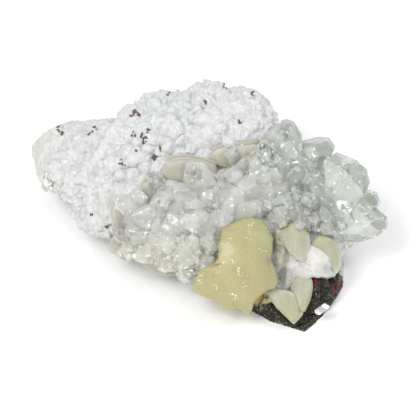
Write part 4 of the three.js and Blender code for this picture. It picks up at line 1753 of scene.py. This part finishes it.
    def plate(
        self,
        rim: np.ndarray,
        root: np.ndarray,
        thickness: float,
        crown: float,
        rng: np.random.Generator,
    ) -> np.ndarray:
        """Works out one closed plate, whose front lies at height 0.

        Args:
            rim: The plate's rim.
            root: Where its fibres run out from.
            thickness: The plate's thickness.
            crown: How far its front bulges.
            rng: The seeded source of its fibres.

        Returns:
            The corners: rings on the front, rings on the back, and the two middles.
        """
        middle = self.hub(rim, root)
        radius = np.linalg.norm(rim - middle, axis=1).mean()
        ridges = rng.uniform(-1, 1, self.fibres)
        ridges = np.append(ridges, ridges[0])
        spots = np.concatenate([middle + share * (rim - middle) for share in (*self.rings, 0.0)])
        share = np.append(np.repeat(self.rings, self.rim_points), np.zeros(self.rim_points))
        angle = np.arctan2(spots[:, 1] - root[1], spots[:, 0] - root[0]) / (2 * math.pi) % 1
        fibre = self.fibre * np.interp(angle * self.fibres, np.arange(self.fibres + 1), ridges)
        distance = np.linalg.norm(spots - root, axis=1) / radius
        front = fibre * np.minimum(distance, 1) - self.droop * radius * share**2
        front += crown * self.bulge(spots - middle, share)
        edge = np.where(share > 0.99, self.rim_fullness, 1.0) * (1 - self.thinning * share**3)
        back = front - thickness * edge
        front = front - thickness * (1 - edge) * (1 - self.thinning)
        count = len(self.rings) * self.rim_points
        top, low = np.column_stack([spots, front]), np.column_stack([spots, back])
        return np.concatenate([top[:count], low[:count], top[count:count + 1], low[count:count + 1]])

    def hub(self, rim: np.ndarray, root: np.ndarray) -> np.ndarray:
        """Finds the place that the plate's net runs out from, inside the rim and near the root.

        Args:
            rim: The plate's rim.
            root: Where the plates open from.

        Returns:
            The place on the plates' plane.
        """
        middle = rim.mean(axis=0)
        after = np.roll(rim, -1, axis=0)
        for share in np.linspace(self.hub_reach, 0, self.hub_steps):
            place = middle + share * (root - middle)
            if np.cross(after - rim, place - rim).min() > 0:
                return place
        return middle

    def bulge(self, spots: np.ndarray, share: np.ndarray) -> np.ndarray:
        """Gives the front's bulge: a dome, or a roof with a ridge along a direction.

        Args:
            spots: Places on the plate, from its middle.
            share: How far out to the rim each lies.

        Returns:
            The bulge at each place, from 0 to 1.
        """
        if self.roof is None:
            return 1 - share**2
        turn = math.radians(self.roof)
        off_ridge = np.abs(spots[:, 1] * math.cos(turn) - spots[:, 0] * math.sin(turn))
        return 1 - off_ridge / off_ridge.max()

    def plate_faces(self) -> list[list[int]]:
        """Lists the faces of a plate: its front, its back and the rim between them.

        Returns:
            The corners round each face.
        """
        count, rings = self.rim_points, len(self.rings)
        back, tips = rings * count, 2 * rings * count
        faces = []
        for step in range(count):
            after = (step + 1) % count
            for outer in range(0, back - count, count):
                inner = outer + count
                faces.append([outer + step, outer + after, inner + after, inner + step])
                turned = [outer + after, outer + step, inner + step, inner + after]
                faces.append([back + corner for corner in turned])
            last = back - count
            faces.append([last + step, last + after, tips])
            faces.append([back + last + after, back + last + step, tips + 1])
            faces.append([back + step, back + after, after, step])
        return faces


@dataclass
class YellowSheaf:
    """The thick yellow stilbite sheaf: a flat-fronted body with a toothed rim."""

    node: str = "stilbite_sheaf_yellow"
    voxel: float = 0.28 * MM
    smoothing: int = 6
    flatness: float = 0.75
    flat_rim: Spot = (1.5, 6.0)
    edge: float = 0.9
    wall: float = 3.0
    lip: float = 0.5
    inner: float = 2.0
    upright: float = 0.2
    middle: Spot = (11.0, 1.0)
    teeth: int = 72
    tooth: float = 1.1
    tooth_range: Spot = (0.3, 1.0)
    last_tooth: float = 0.5
    toothed_side: Spot = (-0.5, 0.87)
    toothed_edge: Spot = (-0.3, 0.3)
    low_teeth: float = 0.35
    cleavage: Breaks = Breaks(5 * MM, 0.25 * MM, 0.04, 61)
    cleavage_smoothing: int = 5
    pale: Fade = Fade((11.0, 19.0), (-12.0, 2.0))
    dark_foot: Fade = Fade((12.5, 15.0), (-8.5, -10.5))
    seed: int = 63
    glints: CountedSpots = (
        (234, 262, 5), (238, 269, 6), (241, 275, 6), (244, 284, 5), (201, 277, 7), (199, 283, 5),
        (233, 295, 7), (236, 299, 4), (252, 226, 6), (222, 263, 3), (247, 236, 3), (214, 288, 4),
        (261, 252, 3), (226, 243, 3),
    )
    glint_spread: float = 2.2
    glint_tilt: float = 0.03
    glint_size: tuple[float, float, float] = (0.3 * MM, 0.11 * MM, 0.13 * MM)
    glint_face: tuple[float, float, float] = (-0.11, -0.18, 0.98)
    # Painted glints: the blade ends are painted near white so that they read as glints from every side.
    glint_tip_finish: StilbiteFinish = StilbiteFinish(
        "painted_glint_tip_finish",
        body=paint(234, 230, 202),
        cloudy=paint(216, 210, 174),
        rim=paint(234, 230, 202),
        deep=paint(216, 210, 174),
        waxiness=0.0,
        roughness=0.2,
    )

    def build(self, finish: StilbiteFinish) -> list[bpy.types.Object]:
        """Builds the sheaf.

        Args:
            finish: The sheaf's finish.

        Returns:
            The sheaf and its blade ends, which are painted pale as glints.
        """
        skin = Skin("yellow_stilbite_sheaf", self.node, self.voxel)
        smooth = skin.averaged(skin.points, self.smoothing)
        skin.points = smooth
        steep = np.abs(skin.normals @ FACE.axes()[2]) < self.upright
        places = FACE.measure(smooth)
        level = np.median(places[steep, 2])
        inward = self.from_rim(places, places[steep])
        front = self.front(places, inward)
        lifted = smooth_step(places[:, 2], level - self.wall, level + self.lip)
        chipped = skin.averaged(self.cleavage.rise(smooth), self.cleavage_smoothing) / MM
        places[:, 2] += lifted * (front - places[:, 2] + chipped * smooth_step(inward, 0, 1))
        places[:, :2] += self.teeth_at(places) * (lifted * np.exp(-inward / self.edge))[:, None]
        points = places @ FACE.axes() * MM
        points[:, 2] = np.maximum(points[:, 2], 0)
        skin.points = skin.averaged(points, 1)
        x, y = places[:, 0], places[:, 1]
        note(skin.mesh, Mark.RIM, self.pale.at(x, y))
        note(skin.mesh, Mark.DEEP, self.dark_foot.at(x, y))
        tips = self.painted_glint_tips(skin.tree())
        return [
            seat(skin.piece, finish.material(), Slot.YELLOW_STILBITE, self.node),
            seat(tips, self.glint_tip_finish.material(), Slot.YELLOW_STILBITE),
        ]

    def painted_glint_tips(self, tree: BVHTree) -> bpy.types.Object:
        """Strews small broken blade ends on the sheaf's front, painted pale as glints.

        Args:
            tree: The sheaf's tree.

        Returns:
            The blade ends, as one object.
        """
        rng = np.random.default_rng(self.seed + 1)
        half = np.array([(x, y, z) for x in (-1, 1) for y in (-1, 1) for z in (-1, 1)], float)
        sides = [[0, 1, 3, 2], [4, 6, 7, 5], [0, 4, 5, 1], [2, 3, 7, 6], [0, 2, 6, 4], [1, 5, 7, 3]]
        points = []
        for place in VIEW.strewn_on(tree, self.glints, self.glint_spread, rng):
            normal = unit(self.glint_face + self.glint_tilt * rng.normal(size=3)) @ FACE.axes()
            first, second = across(normal[None], rng.uniform(0, math.pi, 1))
            blade = half * self.glint_size * rng.uniform(*VARIED, 3)
            points.append(place + blade @ np.stack([first[0], second[0], normal]))
        faces = repeated(sides, len(half), len(points))
        return object_of("sheaf_painted_glint_tips", np.concatenate(points), faces, smooth=False)

    @staticmethod
    def from_rim(places: np.ndarray, rim: np.ndarray) -> np.ndarray:
        """Gives how far each place lies from the rim, across the display face."""
        tree = kd_tree(rim * (1, 1, 0))
        return np.array([tree.find(place)[2] for place in places * (1, 1, 0)])

    def front(self, places: np.ndarray, inward: np.ndarray) -> np.ndarray:
        """Works out the flattened front.

        Args:
            places: The points on the display face.
            inward: How far each lies from the rim.

        Returns:
            How far out the front lies at each point, with its edge rounded off.
        """
        x, y, out = places.T
        terms = np.stack([np.ones_like(x), x, y, x * x, x * y, y * y], axis=1)
        inner = (inward > self.inner) & (out > np.median(out))
        even = terms @ np.linalg.lstsq(terms[inner], out[inner], rcond=None)[0]
        level = even + (1 - self.flatness) * smooth_step(inward, *self.flat_rim) * (out - even)
        share = 1 - np.clip(inward / self.edge, 0, 1)
        return level - self.edge * (1 - np.sqrt(1 - share**2))

    def teeth_at(self, places: np.ndarray) -> np.ndarray:
        """Gives how far the rim's teeth push each point out, across the display face.

        Args:
            places: The points on the display face.

        Returns:
            The push of each point, right and up.
        """
        rng = np.random.default_rng(self.seed)
        lengths = np.append(rng.uniform(*self.tooth_range, self.teeth), self.last_tooth)
        from_middle = places[:, :2] - self.middle
        turn = np.arctan2(from_middle[:, 1], from_middle[:, 0]) / (2 * math.pi) % 1 * self.teeth
        number = np.minimum(turn.astype(int), self.teeth)
        point = 1 - np.abs(2 * (turn - number) - 1)
        upper = smooth_step(unit(from_middle) @ self.toothed_side, *self.toothed_edge)
        upper = self.low_teeth + (1 - self.low_teeth) * upper
        return unit(from_middle) * (self.tooth * upper * lengths[number] * (point - 0.5))[:, None]


@dataclass(frozen=True)
class Bundle:
    """Needles that lie one way, between two pixels of the photograph."""

    start: Spot
    end: Spot
    spread: Spot
    count: int
    length: float
    thickness: float = 0.09 * MM


@dataclass
class WhiteFibres:
    """Fine white needles: a mat below the druse's right end, and strands beside the sheaf."""

    carrier: str = "white_crust"
    seed: int = 71
    sides: int = 4
    sway: tuple[float, float, float] = (0.25, 0.25, 0.125)
    rise: Spot = (0.0, 0.2)
    height: Spot = (0.0, 0.5 * MM)
    waist: float = 0.35
    bundles: tuple[Bundle, ...] = (
        Bundle((302, 254), (306, 270), (7, 4), 40, 1.6 * MM, 0.06 * MM),
        Bundle((322, 262), (334, 274), (7, 3), 70, 1.8 * MM, 0.06 * MM),
        Bundle((294, 264), (290, 284), (3, 6), 24, 1.8 * MM, 0.06 * MM),
        Bundle((279, 250), (283, 276), (2.0, 5), 46, 4.6 * MM, 0.22 * MM),
    )

    def build(self, material: bpy.types.Material) -> list[bpy.types.Object]:
        """Builds the needles.

        Args:
            material: The needles' material.

        Returns:
            The needles, as one piece.
        """
        rng = np.random.default_rng(self.seed)
        tree = tree_of(self.carrier)
        axes = FACE.axes()
        roots, ways, lengths, thick = [], [], [], []
        for bundle in self.bundles:
            start, end = np.array(bundle.start), np.array(bundle.end)
            heading = unit(np.array((end[0] - start[0], start[1] - end[1], 0.0)))
            for _ in range(bundle.count):
                spot = (start + end) / 2 + rng.normal(size=2) * bundle.spread
                found = VIEW.spot_on(tree, tuple(spot))
                if found is None:
                    continue
                place, normal = found
                way = unit(heading + rng.normal(size=3) * self.sway) @ axes
                way = unit(way - normal * (way @ normal) + rng.uniform(*self.rise) * normal)
                length = bundle.length * rng.uniform(*VARIED)
                roots.append(place - 0.5 * length * way + rng.uniform(*self.height) * normal)
                ways.append(way)
                lengths.append(length)
                thick.append(bundle.thickness)
        measures = np.array(lengths), np.array(thick)[:, None]
        piece = self.needles(np.array(roots), np.array(ways), *measures)
        return [seat(piece, material, Slot.CRUST)]

    def needles(
        self, roots: np.ndarray, ways: np.ndarray, lengths: np.ndarray, thick: np.ndarray
    ) -> bpy.types.Object:
        """Makes closed needles, pointed at both ends.

        Args:
            roots: The needles' lower tips.
            ways: The directions that they point.
            lengths: Their lengths.
            thick: Their half widths, in a column.

        Returns:
            The needles, as one object.
        """
        first, second = across(ways, np.zeros(len(ways)))
        turns = np.arange(self.sides) * 2 * math.pi / self.sides
        waist = roots + ways * (self.waist * lengths)[:, None]
        ring = [waist + thick * (first * math.cos(t) + second * math.sin(t)) for t in turns]
        corners = np.stack([roots, *ring, roots + ways * lengths[:, None]], axis=1)
        last = self.sides + 1
        sides = []
        for side in range(1, last):
            after = side % self.sides + 1
            sides += [[0, after, side], [last, side, after]]
        faces = repeated(sides, last + 1, len(roots))
        return object_of("white_needles", corners.reshape(-1, 3), faces, smooth=True)


@dataclass
class ZeoliteChip:
    """A small broken chip of milky crystal with cut corners."""

    node: str = "zeolite_chip"
    cut: Spot = (0.12, 0.42)
    sharp: float = math.radians(20)
    seed: int = 81

    def build(self, finish: ClearFinish) -> list[bpy.types.Object]:
        """Builds the chip.

        Args:
            finish: The chip's finish.

        Returns:
            The one piece.
        """
        rng = np.random.default_rng(self.seed)
        body = welded(self.node)
        places = []
        for edge in body.edges:
            if edge.calc_face_angle(0.0) > self.sharp:
                ends = [np.array(vertex.co) for vertex in edge.verts]
                places += [ends[0] + (ends[1] - ends[0]) * rng.uniform(*self.cut)]
                places += [ends[1] + (ends[0] - ends[1]) * rng.uniform(*self.cut)]
        body.free()
        piece = object_of("milky_chip", np.array(places), [], smooth=False)
        hull = bmesh.new()
        hull.from_mesh(piece.data)
        spare = bmesh.ops.convex_hull(hull, input=hull.verts)["geom_interior"]
        bmesh.ops.delete(hull, geom=[part for part in spare if isinstance(part, bmesh.types.BMVert)])
        hull.to_mesh(piece.data)
        hull.free()
        return [seat(piece, finish.material(), Slot.CRUST, self.node)]


@dataclass(frozen=True)
class Softbox:
    """A round soft light, placed on the display face in millimetres."""

    name: str
    place: tuple[float, float, float]
    side: float
    power: float

    def build(self) -> None:
        """Hangs the light, turned to the specimen."""
        light = bpy.data.lights.new(self.name, "AREA")
        light.shape = "DISK"
        light.size = self.side
        light.energy = self.power
        lamp = bpy.data.objects.new(self.name, light)
        lamp.location = FACE.place(*self.place)
        lamp.rotation_mode = "QUATERNION"
        lamp.rotation_quaternion = Vector(-lamp.location).to_track_quat("-Z", "Y")
        bpy.context.scene.collection.objects.link(lamp)


@dataclass
class Studio:
    """A pale floor, soft light and the camera at the photograph's angle."""

    floor_side: float = 3.0
    floor_colour: Colour = paint(252, 252, 252)
    floor_roughness: float = 0.9
    world_light: float = 0.7
    dark_side: float = 0.3
    dark_reach: Spot = (0.72, 0.95)
    softboxes: tuple[Softbox, ...] = (
        Softbox("key_light", (-330.0, 268.0, 630.0), 0.38, 2.5),
        Softbox("rim_light", (420.0, 380.0, 420.0), 0.25, 0.8),
        Softbox("fill_light", (150.0, -420.0, 470.0), 0.4, 0.5),
        Softbox("sparkle_light", (-150.0, -260.0, 700.0), 0.06, 0.35),
        Softbox("glint_light", (260.0, 160.0, 700.0), 0.05, 0.35),
        Softbox("upper_glint_light", (-40.0, 430.0, 640.0), 0.03, 0.2),
        Softbox("left_glint_light", (-400.0, 40.0, 620.0), 0.03, 0.2),
        Softbox("right_glint_light", (380.0, -160.0, 620.0), 0.03, 0.2),
    )

    def build(self) -> None:
        """Sets the floor, the lights and the camera."""
        self.lay_floor()
        self.light()
        self.set_camera()
        bpy.context.scene.view_settings.view_transform = "Standard"

    def lay_floor(self) -> None:
        """Lays the floor that the specimen rests on."""
        half = self.floor_side / 2
        corners = np.array([(-half, -half, 0), (half, -half, 0), (half, half, 0), (-half, half, 0)])
        floor = object_of("studio_floor", corners, [[0, 1, 2, 3]], smooth=False)
        shader = Shader("studio_floor_finish")
        finish = shader.finish(Base_Color=self.floor_colour, Roughness=self.floor_roughness)
        floor.data.materials.append(finish)
        floor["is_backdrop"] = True

    def light(self) -> None:
        """Lights the specimen from all round and from the soft lights."""
        world = bpy.data.worlds.new("studio_light")
        world.use_nodes = True
        nodes, links = world.node_tree.nodes, world.node_tree.links
        background = nodes["Background"]
        background.inputs["Color"].default_value = (1, 1, 1, 1)
        towards = nodes.new("ShaderNodeVectorMath")
        towards.operation = "DOT_PRODUCT"
        towards.inputs[1].default_value = FACE.axes()[2]
        links.new(nodes.new("ShaderNodeTexCoord").outputs["Generated"], towards.inputs[0])
        strength = nodes.new("ShaderNodeMapRange")
        reach = ("From Min", self.dark_reach[0]), ("From Max", self.dark_reach[1])
        for name, value in (*reach, ("To Min", self.world_light), ("To Max", self.dark_side)):
            strength.inputs[name].default_value = value
        links.new(towards.outputs["Value"], strength.inputs["Value"])
        links.new(strength.outputs["Result"], background.inputs["Strength"])
        bpy.context.scene.world = world
        for softbox in self.softboxes:
            softbox.build()

    def set_camera(self) -> None:
        """Sets the camera at the photograph's point of view."""
        data = bpy.data.cameras.new("photo_camera")
        data.lens = VIEW.lens
        data.sensor_width = VIEW.sensor
        camera = bpy.data.objects.new("photo_camera", data)
        camera.location = VIEW.eye()
        camera.rotation_mode = "QUATERNION"
        camera.rotation_quaternion = Vector(-FACE.axes()[2]).to_track_quat("-Z", "Y")
        bpy.context.scene.collection.objects.link(camera)
        bpy.context.scene.camera = camera


TAN_FANS = (
    StilbiteFan("stilbite_fan_back_left", (-6, 22), 22, 1),
    StilbiteFan("stilbite_fan_back_right", (8, 27), 22, 2),
    StilbiteFan("stilbite_fan_left", (-18, 16), 20, 3),
    StilbiteFan("stilbite_fan_left_edge", (-25.5, 9), 14, 4),
    StilbiteFan("stilbite_fan_corner", (-23, 5.5), -12, 5),
    StilbiteFan("stilbite_fan_underside", (-14, 2), -14, 6),
)
PALE_FANS = (
    StilbiteFan(
        "stilbite_pale_front_left", (25, -19), -4, 7, Slot.PALE_STILBITE, 3, 0.05, 0.08, 1.0,
        growth=1.08, rounding=12, fibre=0.15, fibres=130, lift=0.4,
        leaf=(
            (275, 306), (285, 316), (294, 325), (303, 314), (303, 305), (298, 297), (292, 292),
            (283, 291), (275, 290), (267, 292),
        ),
    ),
    StilbiteFan(
        "stilbite_pale_front_right", (28, -17), -2, 8, Slot.PALE_STILBITE, 2, 0.04, 0.1, 2.2,
        growth=1.06, rounding=16, fibre=0.03, raggedness=0.04, lift=1.6,
        leaf=(
            (291, 297), (298, 311), (305, 313), (311, 299), (313, 288), (312, 279), (305, 275),
            (297, 277), (291, 286),
        ),
    ),
    StilbiteFan(
        "stilbite_pale_middle", (26, 8), -12, 9, Slot.PALE_STILBITE, 2, 0.05, 0.08, 1.8, roof=100,
        growth=1.17, rounding=12, fibre=0.06,
        leaf=(
            (279, 236), (288, 248), (297, 258), (302, 261), (307, 256), (309, 245), (308, 231),
            (302, 222), (290, 223), (281, 228),
        ),
    ),
    StilbiteFan(
        "stilbite_pale_right", (32, 8), -10, 10, Slot.PALE_STILBITE, 2, 0.05, 0.1, 2.8,
        growth=1.08, rounding=14, fibre=0.08,
        leaf=(
            (307, 252), (317, 259), (326, 266), (335, 273), (341, 265), (341, 253), (339, 240),
            (326, 235), (313, 236), (307, 245),
        ),
    ),
)


def write_sizes() -> None:
    """Works out the solids' box and the dressed specimen's box."""
    boxes = {"cad": CAD_BOX, "visual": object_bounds()}
    {name: [list(corner) for corner in box] for name, box in boxes.items()}


def main() -> None:
    """Builds the specimen and its studio, piece by piece."""
    logging.basicConfig(level=logging.INFO, format="%(name)s: %(message)s")
    crust, tan, pale = CrustFinish().material(), TAN_FINISH.material(), PALE_FINISH.material()
    pieces = WhiteCrust().build(crust, SpeckFinish())
    pieces += BasaltMatrix().build(BasaltFinish())
    pieces += ApophylliteDruse().build(ClearFinish())
    pieces += YellowSheaf().build(YELLOW_FINISH)
    pieces += [fan.build(tan) for fan in TAN_FANS]
    pieces += [fan.build(pale) for fan in PALE_FANS]
    pieces += WhiteFibres().build(crust)
    pieces += ZeoliteChip().build(ClearFinish("milky_chip_finish", clearest=0.5))
    for piece in pieces:
        LOG.info("%s: %d faces", piece.name, len(piece.data.polygons))
    Studio().build()
    write_sizes()


if __name__ == "__main__":
    main()
